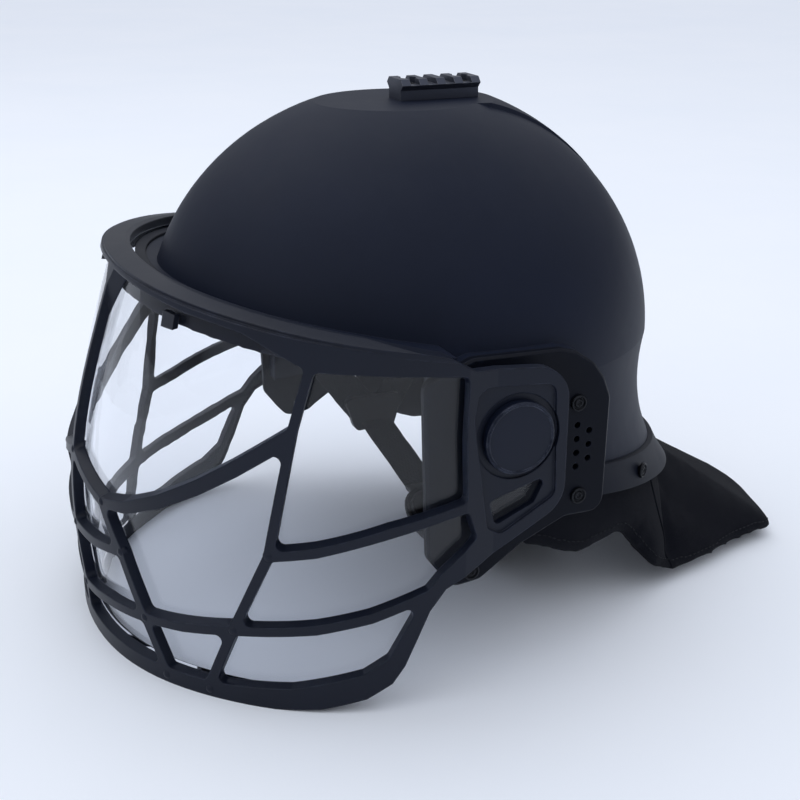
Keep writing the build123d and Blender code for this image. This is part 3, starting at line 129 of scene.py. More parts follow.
class NodeSheet:
    """Adds nodes and links to a node tree in few words."""

    def __init__(self, tree: Tree) -> None:
        """Keeps the tree to write on."""
        self.tree = tree

    def add(self, kind: str, inputs: dict | None = None, **settings: object) -> Node:
        """Adds a node.

        Args:
            kind: Blender's name of the node's type.
            inputs: Values or sockets by the input's name or index.
            settings: The node's own settings.

        Returns:
            The new node.
        """
        node = self.tree.nodes.new(kind)
        for name, value in settings.items():
            setattr(node, name, value)
        for key, value in (inputs or {}).items():
            self.feed(node.inputs[key], value)
        return node

    def feed(self, socket: Socket, value: object) -> None:
        """Links a socket to an input, or sets the input's value."""
        if isinstance(value, Socket):
            self.tree.links.new(value, socket)
        else:
            socket.default_value = value

    def math(self, operation: str, *values: object) -> Socket:
        """The result of a Math node on up to three values."""
        inputs = dict(enumerate(values))
        return self.add("ShaderNodeMath", inputs, operation=operation).outputs[0]

    def blend(self, share: object, first: object, second: object) -> Socket:
        """A colour between two colours."""
        inputs = {0: share, 6: first, 7: second}
        return self.add("ShaderNodeMix", inputs, data_type="RGBA").outputs[2]

    def between(
        self, value: object, span: Sequence[float], out: Sequence[float] = (0.0, 1.0)
    ) -> Socket:
        """A value mapped from one span to another and kept inside it."""
        inputs = {1: span[0], 2: span[1], 3: out[0], 4: out[1], 0: value}
        return self.add("ShaderNodeMapRange", inputs, clamp=True).outputs[0]

    def parts(self, value: Socket) -> Sockets:
        """The three parts of a vector."""
        return self.add("ShaderNodeSeparateXYZ", {0: value}).outputs

    def mix(self, share: object, first: object, second: object) -> Socket:
        """A value between two values."""
        inputs = {0: share, 2: first, 3: second}
        return self.add("ShaderNodeMix", inputs, data_type="FLOAT").outputs[0]

    def noise(self, scale: object, detail: float, roughness: float) -> Socket:
        """Cloudy noise that follows the piece's own place."""
        inputs = {"Vector": self.place(), "Scale": scale, "Detail": detail, "Roughness": roughness}
        return self.add("ShaderNodeTexNoise", inputs).outputs[0]

    def place(self) -> Socket:
        """The place on the piece, in metres."""
        return self.add("ShaderNodeTexCoord").outputs["Object"]


class Effect(Enum):
    """Shader groups that several finishes share."""

    EDGE = "Edge wear"
    GRAIN = "Fine grain"
    WEAVE = "Woven threads"
    DUST = "Settled dust"


class Effects:
    """Builds each shared shader group once."""

    bevel_samples = 6
    edge_mask_turn = (0.985, 0.86)       # how far the rounded normal turns from the real one
    edge_mask_patches = (0.42, 0.68)
    drift_span = (0.3, 0.7)
    thread_span = (0.1, 0.9)
    dust_lift = (0.2, 1.0)
    dust_cloud = (0.4, 0.75)
    dust_least = 0.15

    _built: dict[Effect, Tree] = {}

    @classmethod
    def get(cls, effect: Effect) -> Tree:
        """The node group of an effect."""
        if effect not in cls._built:
            makers = {
                Effect.EDGE: cls._edge,
                Effect.GRAIN: cls._grain,
                Effect.WEAVE: cls._weave,
                Effect.DUST: cls._dust,
            }
            cls._built[effect] = makers[effect]()
        return cls._built[effect]

    @staticmethod
    def _start(
        effect: Effect, inputs: dict[str, float | str], outputs: dict[str, str]
    ) -> tuple[NodeSheet, Sockets, Sockets]:
        """A new group with its sockets.

        Args:
            effect: The effect that names the group.
            inputs: Default value by name; a text is a socket type instead.
            outputs: Socket type by name.

        Returns:
            The sheet, the sockets that the group is given, and those that it gives.
        """
        tree = bpy.data.node_groups.new(effect.value, "ShaderNodeTree")
        for name, value in inputs.items():
            kind = value if isinstance(value, str) else FLOAT
            socket = tree.interface.new_socket(name, in_out="INPUT", socket_type=kind)
            if not isinstance(value, str):
                socket.default_value = value
        for name, kind in outputs.items():
            tree.interface.new_socket(name, in_out="OUTPUT", socket_type=kind)
        sheet = NodeSheet(tree)
        given, out = sheet.add("NodeGroupInput"), sheet.add("NodeGroupOutput")
        return sheet, given.outputs, out.inputs

    @classmethod
    def _edge(cls) -> Tree:
        """Rounded normals at edges, and a mask of the edges that take a paler colour: scuffed
        paint, and a painted highlight on some finishes.
        """
        sheet, given, out = cls._start(
            Effect.EDGE,
            {"Radius": 0.001, "Amount": 0.5},
            {"Mask": FLOAT, "Normal": VECTOR},
        )
        bevel = sheet.add(
            "ShaderNodeBevel", {"Radius": given["Radius"]}, samples=cls.bevel_samples
        )
        geometry = sheet.add("ShaderNodeNewGeometry")
        turn = sheet.add(
            "ShaderNodeVectorMath",
            {0: bevel.outputs[0], 1: geometry.outputs["Normal"]},
            operation="DOT_PRODUCT",
        ).outputs["Value"]
        edge = sheet.between(turn, cls.edge_mask_turn)
        patches = sheet.noise(160.0, 5.0, 0.7)
        edge_wear_and_highlight = sheet.math("MULTIPLY", edge, sheet.between(patches, cls.edge_mask_patches))
        sheet.feed(out["Mask"], sheet.math("MULTIPLY", edge_wear_and_highlight, given["Amount"]))
        sheet.feed(out["Normal"], bevel.outputs[0])
        return sheet.tree

    @classmethod
    def _grain(cls) -> Tree:
        """A moulded or sprayed grain, and slow changes of tone over the surface."""
        sheet, given, out = cls._start(
            Effect.GRAIN,
            {"Scale": 900.0, "Cells": 0.0, "Drift": 14.0},
            {"Height": FLOAT, "Tone": FLOAT},
        )
        speck = sheet.noise(given["Scale"], 2.0, 0.6)
        cell = sheet.add(
            "ShaderNodeTexVoronoi", {"Vector": sheet.place(), "Scale": given["Scale"]}
        ).outputs["Distance"]
        drift = sheet.noise(given["Drift"], 4.0, 0.62)
        sheet.feed(out["Height"], sheet.mix(given["Cells"], speck, cell))
        sheet.feed(out["Tone"], sheet.between(drift, cls.drift_span))
        return sheet.tree

    @classmethod
    def _weave(cls) -> Tree:
        """Plain weave: threads that pass over and under each other."""
        sheet, given, out = cls._start(
            Effect.WEAVE,
            {"Place": VECTOR, "Threads": 1200.0, "Aspect": 1.0},
            {"Height": FLOAT, "Tone": FLOAT},
        )
        parts = sheet.parts(given["Place"])
        half_turn = sheet.math("MULTIPLY", given["Threads"], math.pi)
        across = sheet.math("SINE", sheet.math("MULTIPLY", parts[0], half_turn))
        along_turn = sheet.math("MULTIPLY", half_turn, given["Aspect"])
        along = sheet.math("SINE", sheet.math("MULTIPLY", parts[1], along_turn))
        over = sheet.math("GREATER_THAN", sheet.math("MULTIPLY", across, along), 0.0)
        height = sheet.mix(over, sheet.math("ABSOLUTE", across), sheet.math("ABSOLUTE", along))
        sheet.feed(out["Height"], height)
        sheet.feed(out["Tone"], sheet.between(height, cls.thread_span))
        return sheet.tree

    @classmethod
    def _dust(cls) -> Tree:
        """Pale dust that lies on faces that look up, in thin uneven patches."""
        sheet, given, out = cls._start(
            Effect.DUST, {"Amount": 0.1}, {"Mask": FLOAT}
        )
        normal = sheet.add("ShaderNodeNewGeometry").outputs["Normal"]
        lift = sheet.parts(normal)[2]
        cloud = sheet.between(sheet.noise(46.0, 8.0, 0.75), cls.dust_cloud, (cls.dust_least, 1.0))
        mask = sheet.math("MULTIPLY", sheet.between(lift, cls.dust_lift), cloud)
        sheet.feed(out["Mask"], sheet.math("MULTIPLY", mask, given["Amount"]))
        return sheet.tree


@dataclass(frozen=True)
class Finish:
    """What every finish has: a name and a way to build its material once."""

    name: str

    def material(self) -> bpy.types.Material:
        """The finish's material, built at its first use."""
        found = bpy.data.materials.get(self.name)
        if found:
            return found
        made = bpy.data.materials.new(self.name)
        made.use_nodes = True
        made.node_tree.nodes.clear()
        self.write(NodeSheet(made.node_tree))
        return made

    def write(self, sheet: NodeSheet) -> None:
        """Writes the finish's nodes."""
        raise NotImplementedError

    @staticmethod
    def effect(sheet: NodeSheet, effect: Effect, inputs: dict) -> Node:
        """Places a shared group with this material's own values."""
        node = sheet.add("ShaderNodeGroup")
        node.node_tree = Effects.get(effect)
        for name, value in inputs.items():
            sheet.feed(node.inputs[name], value)
        return node

    @staticmethod
    def close(sheet: NodeSheet, shader: Socket) -> None:
        """Links a shader to the material's output."""
        out = sheet.add("ShaderNodeOutputMaterial")
        sheet.feed(out.inputs["Surface"], shader)

    @classmethod
    def coat(cls, sheet: NodeSheet, bump: dict, surface: dict) -> None:
        """Ends the material with a bumped Principled surface.

        Args:
            sheet: The material's sheet.
            bump: Inputs of the Bump node.
            surface: Inputs of the Principled node.
        """
        raised = sheet.add("ShaderNodeBump", {"Strength": 1.0, **bump}).outputs[0]
        shader = sheet.add("ShaderNodeBsdfPrincipled", {**surface, "Normal": raised})
        cls.close(sheet, shader.outputs[0])


@dataclass(frozen=True)
class Moulded(Finish):
    """Painted, moulded or rubber surface with grain, a little dust, and paler edges that are partly
    scuffs and partly painted highlight.
    """

    colour: Colour = tint(20, 22, 27)
    drift_colour: Colour | None = tint(26, 28, 34)
    # The paler edge colour: scuffs on most finishes, a painted highlight on the knob, the screws
    # and the cage.
    wear_and_highlight_colour: Colour = tint(74, 78, 88)
    dust_colour: Colour = tint(120, 122, 128)
    roughness: Span = (0.46, 0.58)
    dusty_roughness: float = 0.3
    shine: float = 0.3
    metallic: float = 0.0
    grain: float = 900.0
    cells: float = 0.0
    drift: float = 14.0
    depth: float = 0.00004
    edge: float = 0.0008
    wear: float = 0.35
    dust: float = 0.05

    def write(self, sheet: NodeSheet) -> None:
        """Writes the finish's nodes."""
        edge = self.effect(sheet, Effect.EDGE, {"Radius": self.edge, "Amount": self.wear})
        grain = self.effect(
            sheet, Effect.GRAIN, {"Scale": self.grain, "Cells": self.cells, "Drift": self.drift}
        )
        dust = self.effect(sheet, Effect.DUST, {"Amount": self.dust}).outputs["Mask"]
        tone = sheet.blend(grain.outputs["Tone"], self.colour, self.drift_colour or self.colour)
        edge_wear_and_highlight = sheet.blend(edge.outputs["Mask"], tone, self.wear_and_highlight_colour)
        dry = sheet.between(grain.outputs["Tone"], (0.0, 1.0), self.roughness)
        rough = sheet.math("ADD", dry, sheet.math("MULTIPLY", dust, self.dusty_roughness))
        self.coat(
            sheet,
            {
                "Distance": self.depth,
                "Height": grain.outputs["Height"],
                "Normal": edge.outputs["Normal"],
            },
            {
                "Base Color": sheet.blend(dust, edge_wear_and_highlight, self.dust_colour),
                "Roughness": rough,
                "Metallic": self.metallic,
                "Specular IOR Level": self.shine,
            },
        )


@dataclass(frozen=True)
class Metal(Moulded):
    """Blackened or plain metal without dust, paler at its edges: scuffed metal, and on the screws a
    painted glint.
    """

    colour: Colour = tint(36, 37, 41)
    drift_colour: Colour | None = None
    # Pale enough to stand for scuffed metal and to paint glints on the screw heads.
    wear_and_highlight_colour: Colour = tint(150, 150, 154)
    roughness: Span = (0.32, 0.46)
    shine: float = 0.5
    metallic: float = 0.85
    grain: float = 1400.0
    drift: float = 90.0
    depth: float = 0.00002
    edge: float = 0.0005
    wear: float = 0.5
    dust: float = 0.0


@dataclass(frozen=True)
class Cloth(Finish):
    """Woven fabric; the weave follows the piece's UV map or its place."""

    colour: Colour = tint(17, 18, 22)
    thread_colour: Colour = tint(34, 36, 43)
    lint_colour: Colour = tint(96, 98, 104)
    threads: float = 1400.0
    aspect: float = 1.0
    depth: float = 0.00018
    roughness: Span = (0.82, 0.94)
    sheen: float = 0.25
    shine: float = 0.2
    lint: float = 0.06
    mapped: bool = False
    fuzz: float = 0.8               # share of the grain in the threads' height
    fade: float = 0.45
    slant: Span = (0.71, -0.53)

    def write(self, sheet: NodeSheet) -> None:
        """Writes the finish's nodes."""
        coords = sheet.add("ShaderNodeTexCoord")
        place = coords.outputs["UV"] if self.mapped else self._slanted(sheet, coords)
        weave = self.effect(
            sheet, Effect.WEAVE, {"Place": place, "Threads": self.threads, "Aspect": self.aspect}
        )
        grain = self.effect(sheet, Effect.GRAIN, {"Scale": 2200.0, "Drift": 32.0})
        dust = self.effect(sheet, Effect.DUST, {"Amount": self.lint})
        tone = sheet.blend(weave.outputs["Tone"], self.colour, self.thread_colour)
        share = sheet.math("MULTIPLY", grain.outputs["Tone"], self.fade)
        faded = sheet.blend(share, tone, self.thread_colour)
        fibres = sheet.math("MULTIPLY", grain.outputs["Height"], self.fuzz)
        self.coat(
            sheet,
            {
                "Distance": self.depth,
                "Height": sheet.math("ADD", weave.outputs["Height"], fibres),
            },
            {
                "Base Color": sheet.blend(dust.outputs["Mask"], faded, self.lint_colour),
                "Roughness": sheet.between(grain.outputs["Tone"], (0.0, 1.0), self.roughness),
                "Specular IOR Level": self.shine,
                "Sheen Weight": self.sheen,
                "Sheen Roughness": 0.5,
            },
        )

    def _slanted(self, sheet: NodeSheet, coords: Node) -> Socket:
        """Place across and along a piece that has no UV map."""
        parts = sheet.parts(coords.outputs["Object"])
        ends = [
            sheet.math("ADD", parts[index], sheet.math("MULTIPLY", parts[1], share))
            for index, share in zip((0, 2), self.slant)
        ]
        return sheet.add("ShaderNodeCombineXYZ", dict(enumerate(ends))).outputs[0]


@dataclass(frozen=True)
class Lens(Finish):
    """Clear polycarbonate with a faint cool tint and wiping marks.

    Lamps and the light that bounces outside it pass straight through.
    """

    colour: Colour = tint(252, 253, 255)
    passed: Colour = tint(248, 250, 254)
    roughness: Span = (0.0, 0.008)
    ior: float = 1.3

    def write(self, sheet: NodeSheet) -> None:
        """Writes the finish's nodes."""
        grain = self.effect(sheet, Effect.GRAIN, {"Scale": 70.0, "Drift": 26.0})
        rough = sheet.between(grain.outputs["Tone"], (0.35, 1.0), self.roughness)
        glass = sheet.add(
            "ShaderNodeBsdfPrincipled",
            {
                "Base Color": self.colour,
                "Roughness": rough,
                "IOR": self.ior,
                "Transmission Weight": 1.0,
                "Specular IOR Level": 0.5,
            },
        )
        clear = sheet.add("ShaderNodeBsdfTransparent", {"Color": self.passed})
        path = sheet.add("ShaderNodeLightPath").outputs
        lamps = sheet.math("MAXIMUM", path["Is Shadow Ray"], path["Is Diffuse Ray"])
        bounced = sheet.math("SUBTRACT", path["Is Glossy Ray"], path["Is Transmission Ray"])
        lamps = sheet.math("MAXIMUM", lamps, bounced)
        mixed = sheet.add(
            "ShaderNodeMixShader", {0: lamps, 1: glass.outputs[0], 2: clear.outputs[0]}
        )
        self.close(sheet, mixed.outputs[0])


@dataclass(frozen=True)
class Floor(Finish):
    """Plain pale floor with the faintest mottling."""

    colour: Colour = tint(243, 246, 251)
    mottled: Colour = tint(240, 244, 250)

    def write(self, sheet: NodeSheet) -> None:
        """Writes the finish's nodes."""
        grain = self.effect(sheet, Effect.GRAIN, {"Scale": 60.0, "Drift": 3.0})
        colour = sheet.blend(grain.outputs["Tone"], self.colour, self.mottled)
        shader = sheet.add(
            "ShaderNodeBsdfPrincipled",
            {"Base Color": colour, "Roughness": 0.9, "Specular IOR Level": 0.0},
        )
        self.close(sheet, shader.outputs[0])


SHELL_PAINT = Moulded(
    "shell paint", colour=tint(18, 24, 39), drift_colour=tint(21, 27, 43), roughness=(0.46, 0.54),
    wear_and_highlight_colour=tint(52, 58, 74), shine=0.13, grain=1500.0, depth=0.00002, wear=0.1, dust=0.02,
    edge=0.0006,
)
# The pale blue edge colour is partly scuffs and partly a painted highlight along the bars and the
# flange.
CAGE_PLASTIC = Moulded(
    "cage plastic", colour=tint(14, 19, 32), drift_colour=tint(17, 23, 37), roughness=(0.36, 0.44),
    wear_and_highlight_colour=tint(68, 76, 100), shine=0.22, grain=1300.0, depth=0.00002, wear=0.4, dust=0.03,
    edge=0.0011,
)
FRAME_PLASTIC = Moulded(
    "frame plastic", colour=tint(9, 12, 21), drift_colour=tint(11, 15, 25), roughness=(0.42, 0.5),
    wear_and_highlight_colour=tint(60, 66, 84), shine=0.1, grain=1500.0, depth=0.00002, wear=0.5, dust=0.02,
)
# Laid on strongly and kept to sharp edges, the pale edge colour paints a highlight on the knob's
# rim.
KNOB_PLASTIC = Moulded(
    "knob plastic", colour=tint(15, 21, 35), drift_colour=tint(17, 23, 39), roughness=(0.34, 0.4),
    wear_and_highlight_colour=tint(104, 111, 130), shine=0.2, grain=1600.0, depth=0.000015, wear=0.9, dust=0.02,
    edge=0.0007,
)
CLIP_PLASTIC = Moulded(
    "smoky clip", colour=tint(26, 29, 38), drift_colour=tint(32, 35, 44), roughness=(0.22, 0.3),
    wear_and_highlight_colour=tint(74, 80, 96), shine=0.4, wear=0.2,
)
BUSH_PLASTIC = Moulded("bush plastic", colour=tint(30, 31, 34), roughness=(0.35, 0.45), wear=0.1)
BAND_PLASTIC = Moulded(
    "headband plastic", colour=tint(24, 25, 29), roughness=(0.4, 0.52), cells=0.5, wear=0.15,
)
BUCKLE_PLASTIC = Moulded(
    "buckle plastic", colour=tint(18, 19, 22), roughness=(0.36, 0.48), cells=0.6, grain=1500.0,
)
BUTTON_PLASTIC = Moulded(
    "button plastic", colour=tint(24, 26, 30), roughness=(0.3, 0.42), cells=0.6, grain=1500.0,
)
CUP_PLASTIC = Moulded(
    "chin cup plastic", colour=tint(21, 22, 26), roughness=(0.42, 0.56), cells=0.5, depth=0.00006,
)
EDGE_RUBBER = Moulded(
    "edge rubber", colour=tint(13, 17, 28), drift_colour=tint(16, 20, 32), roughness=(0.46, 0.58),
    wear_and_highlight_colour=tint(48, 53, 66), shine=0.12, grain=1200.0, cells=0.2, depth=0.00003, wear=0.15,
    dust=0.04,
)
BLOWN_FOAM = Moulded(
    "liner foam", colour=tint(38, 39, 43), drift_colour=tint(46, 47, 51), roughness=(0.75, 0.9),
    shine=0.2, grain=330.0, cells=1.0, depth=0.0005, wear=0.2, edge=0.002, dust=0.1,
)
RAIL_METAL = Metal("rail metal", colour=tint(56, 60, 73), metallic=0.5, roughness=(0.4, 0.52))
# Laid on strongly, the pale edge colour paints glints on the screw heads' rims and recess.
SCREW_STEEL = Metal(
    "screw steel", colour=tint(24, 26, 31), metallic=0.7, edge=0.0004, wear=0.9,
)
STUD_STEEL = Metal(
    "stud steel", colour=tint(118, 119, 123), wear_and_highlight_colour=tint(190, 190, 192), metallic=1.0,
)
PAD_FABRIC = Cloth(
    "pad fabric", colour=tint(12, 13, 17), thread_colour=tint(19, 20, 25), threads=2600.0,
    depth=0.00006, sheen=0.06, lint=0.03,
)
GUARD_FABRIC = Cloth(
    "guard fabric", colour=tint(8, 10, 16), thread_colour=tint(13, 15, 23), threads=2900.0,
    depth=0.00005, sheen=0.03, lint=0.02, shine=0.07,
)
WEBBING = Cloth(
    "strap webbing", colour=tint(13, 14, 18), thread_colour=tint(24, 26, 31), threads=900.0,
    aspect=0.5, depth=0.0002, sheen=0.08, lint=0.03, mapped=True,
)
THREAD = Cloth(
    "sewing thread", colour=tint(14, 15, 19), thread_colour=tint(25, 27, 33), threads=4000.0,
    depth=0.00005, sheen=0.05,
)
LENS_CLEAR = Lens("clear lens")
FLOOR = Floor("studio floor")


class Workshop:
    """Mesh work that the sub-assemblies share."""

    most_triangles = 190_000
    merge_distance = 2e-6

    @staticmethod
    def add(name: str, data: bpy.types.ID) -> Piece:
        """A new object in the scene that holds a mesh, a curve, a lamp or a camera."""
        piece = bpy.data.objects.new(name, data)
        bpy.context.scene.collection.objects.link(piece)
        return piece

    @classmethod
    def merged(cls, node: str) -> Work:
        """A copy of a CAD node's mesh with its doubles merged."""
        mesh = bmesh.new()
        mesh.from_mesh(frame["nodes"][node].data)
        bmesh.ops.remove_doubles(mesh, verts=mesh.verts, dist=cls.merge_distance)
        return mesh

    @classmethod
    def copied(cls, node: str, name: str) -> Piece:
        """A new piece that starts as a merged copy of a CAD node."""
        return cls.poured(cls.merged(node), name)

    @classmethod
    def poured(cls, work: Work, name: str) -> Piece:
        """A new piece from a finished bmesh, which is freed."""
        mesh = bpy.data.meshes.new(name)
        work.to_mesh(mesh)
        work.free()
        return cls.add(name, mesh)

    @staticmethod
    def final(piece: Piece) -> bpy.types.Mesh:
        """A new mesh with the shape that a piece's modifiers or curve give."""
        bpy.context.view_layer.update()
        graph = bpy.context.evaluated_depsgraph_get()
        return bpy.data.meshes.new_from_object(piece.evaluated_get(graph), depsgraph=graph)

    @classmethod
    def bake(cls, piece: Piece) -> Piece:
        """Turns a piece's live modifiers into plain mesh."""
        mesh = cls.final(piece)
        spent = piece.data
        piece.modifiers.clear()
        piece.data = mesh
        bpy.data.meshes.remove(spent)
        mesh.name = piece.name
        return piece

    @staticmethod
    def smooth(piece: Piece) -> None:
        """Shades a piece smooth."""
        faces = piece.data.polygons
        faces.foreach_set("use_smooth", [True] * len(faces))
        piece.data.update()

    @classmethod
    def rounded(cls, piece: Piece, voxel: float, passes: int) -> Piece:
        """Remeshes a piece finely and softens its edges.

        Args:
            piece: The piece, a closed mesh.
            voxel: Size of the new mesh's cells, in metres.
            passes: How often the surface is relaxed.

        Returns:
            The piece, as plain mesh.
        """
        remesh = piece.modifiers.new("Remesh", "REMESH")
        remesh.mode = "VOXEL"
        remesh.voxel_size = voxel
        relax = piece.modifiers.new("Relax", "SMOOTH")
        relax.factor = 0.5
        relax.iterations = passes
        cls.bake(piece)
        triangles = sum(len(face.vertices) - 2 for face in piece.data.polygons)
        if triangles > cls.most_triangles:
            thin = piece.modifiers.new("Thin", "DECIMATE")
            thin.ratio = cls.most_triangles / triangles
            cls.bake(piece)
        cls.smooth(piece)
        return piece

    @staticmethod
    def read(mesh: bpy.types.Mesh, value: str) -> np.ndarray:
        """A value of a mesh's vertices, such as co or normal, one row each."""
        found = np.zeros(len(mesh.vertices) * 3)
        mesh.vertices.foreach_get(value, found)
        return found.reshape(-1, 3)

    @staticmethod
    def put(piece: Piece, places: np.ndarray) -> None:
        """Moves a piece's vertices to new places."""
        piece.data.vertices.foreach_set("co", np.asarray(places, float).ravel())
        piece.data.update()

    @staticmethod
    def turns(count: int) -> list[float]:
        """The headings of evenly spread places round a circle, in radians."""
        return [2 * math.pi * step / count for step in range(count)]

    @staticmethod
    def dots(name: str, places: Iterable[Vector]) -> Piece:
        """A new piece that has a vertex at each place and nothing else."""
        mesh = bpy.data.meshes.new(name)
        mesh.from_pydata([tuple(place) for place in places], [], [])
        return Workshop.add(name, mesh)

    @staticmethod
    def turned(
        work: Work,
        rings: Sequence[Sequence[Point]],
        top: Point,
        foot: Point | None = None,
    ) -> None:
        """Closes rings of places into a turned body.

        Args:
            work: The bmesh that takes the body.
            rings: The places of each ring, from the top down.
            top: The middle of the top.
            foot: The middle of the foot, or None for one flat face.
        """
        loops = [[work.verts.new(place) for place in ring] for ring in rings]
        steps = [(step, (step + 1) % len(loops[0])) for step in range(len(loops[0]))]
        for one, other in zip(loops, loops[1:]):
            for step, after in steps:
                work.faces.new((one[step], other[step], other[after], one[after]))
        peak = work.verts.new(top)
        for step, after in steps:
            work.faces.new((peak, loops[0][step], loops[0][after]))
        if foot is None:
            work.faces.new(list(reversed(loops[-1])))
        else:
            base = work.verts.new(foot)
            for step, after in steps:
                work.faces.new((base, loops[-1][after], loops[-1][step]))
        bmesh.ops.recalc_face_normals(work, faces=work.faces)

    @staticmethod
    def surface(piece: Piece) -> BVHTree:
        """A tree that finds places on a piece's surface."""
        work = bmesh.new()
        work.from_mesh(piece.data)
        tree = BVHTree.FromBMesh(work)
        work.free()
        return tree


class Dresser:
    """Gives pieces their finish and body, and reports them."""

    @staticmethod
    def finish(piece: Piece, finish: Finish) -> None:
        """Puts one finish on a whole piece."""
        piece.data.materials.clear()
        piece.data.materials.append(finish.material())

    @classmethod
    def place(
        cls,
        piece: Piece,
        body: Body,
        slot: Slot,
        finish: Finish,
        nodes: Iterable[str] = (),
    ) -> Piece:
        """Finishes a new piece and lets it ride on its body.

        Args:
            piece: The new piece.
            body: The body that it moves with.
            slot: The record's slot of its finish; not used.
            finish: Its finish.
            nodes: The CAD nodes that it stands for.

        Returns:
            The piece.
        """
        cls.finish(piece, finish)
        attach(piece, body.value)
        if nodes:
            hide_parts(*nodes)
        LOG.info("%s: %d faces", piece.name, len(piece.data.polygons))
        return piece

    @staticmethod
    def keep(finish: Finish, *nodes: str) -> None:
        """Puts a finish on CAD nodes that stay as they are."""
        for node in nodes:
            held = frame["nodes"][node]
            for place in held.material_slots:
                place.material = finish.material()
            if not held.material_slots:
                held.data.materials.append(finish.material())
            LOG.info("%s: as packed, %s", node, finish.name)


class GrowTree:
    """A Geometry Nodes tree that makes what repeats, and turns it into plain mesh."""

    def __init__(self, name: str, inputs: dict[str, str]) -> None:
        """Starts the tree.

        Args:
            name: The tree's name.
            inputs: Socket type by input name.
        """
        self.tree = bpy.data.node_groups.new(name, "GeometryNodeTree")
        face = self.tree.interface
        face.new_socket("Geometry", in_out="INPUT", socket_type="NodeSocketGeometry")
        self.ids = {
            label: face.new_socket(label, in_out="INPUT", socket_type=kind).identifier
            for label, kind in inputs.items()
        }
        face.new_socket("Geometry", in_out="OUTPUT", socket_type="NodeSocketGeometry")
        self.sheet = NodeSheet(self.tree)
        self.given = self.sheet.add("NodeGroupInput").outputs

    def close(self, instances: Socket) -> None:
        """Ends the tree: real geometry with its material."""
        real = self.sheet.add("GeometryNodeRealizeInstances", {"Geometry": instances})
        shaded = self.sheet.add("GeometryNodeSetShadeSmooth", {"Geometry": real.outputs[0]})
        inputs = {"Geometry": shaded.outputs[0], "Material": self.given["Material"]}
        dressed = self.sheet.add("GeometryNodeSetMaterial", inputs)
        out = self.sheet.add("NodeGroupOutput")
        self.sheet.feed(out.inputs[0], dressed.outputs[0])

    def grow(self, seed: Piece, values: dict[str, object]) -> Piece:
        """Runs the tree on a piece and leaves its plain result.

        Args:
            seed: The piece whose points or edges the tree follows.
            values: Values by input name.

        Returns:
            The same piece with the result as its mesh.
        """
        live = seed.modifiers.new(self.tree.name, "NODES")
        live.node_group = self.tree
        for label, value in values.items():
            live[self.ids[label]] = value
        return Workshop.bake(seed)


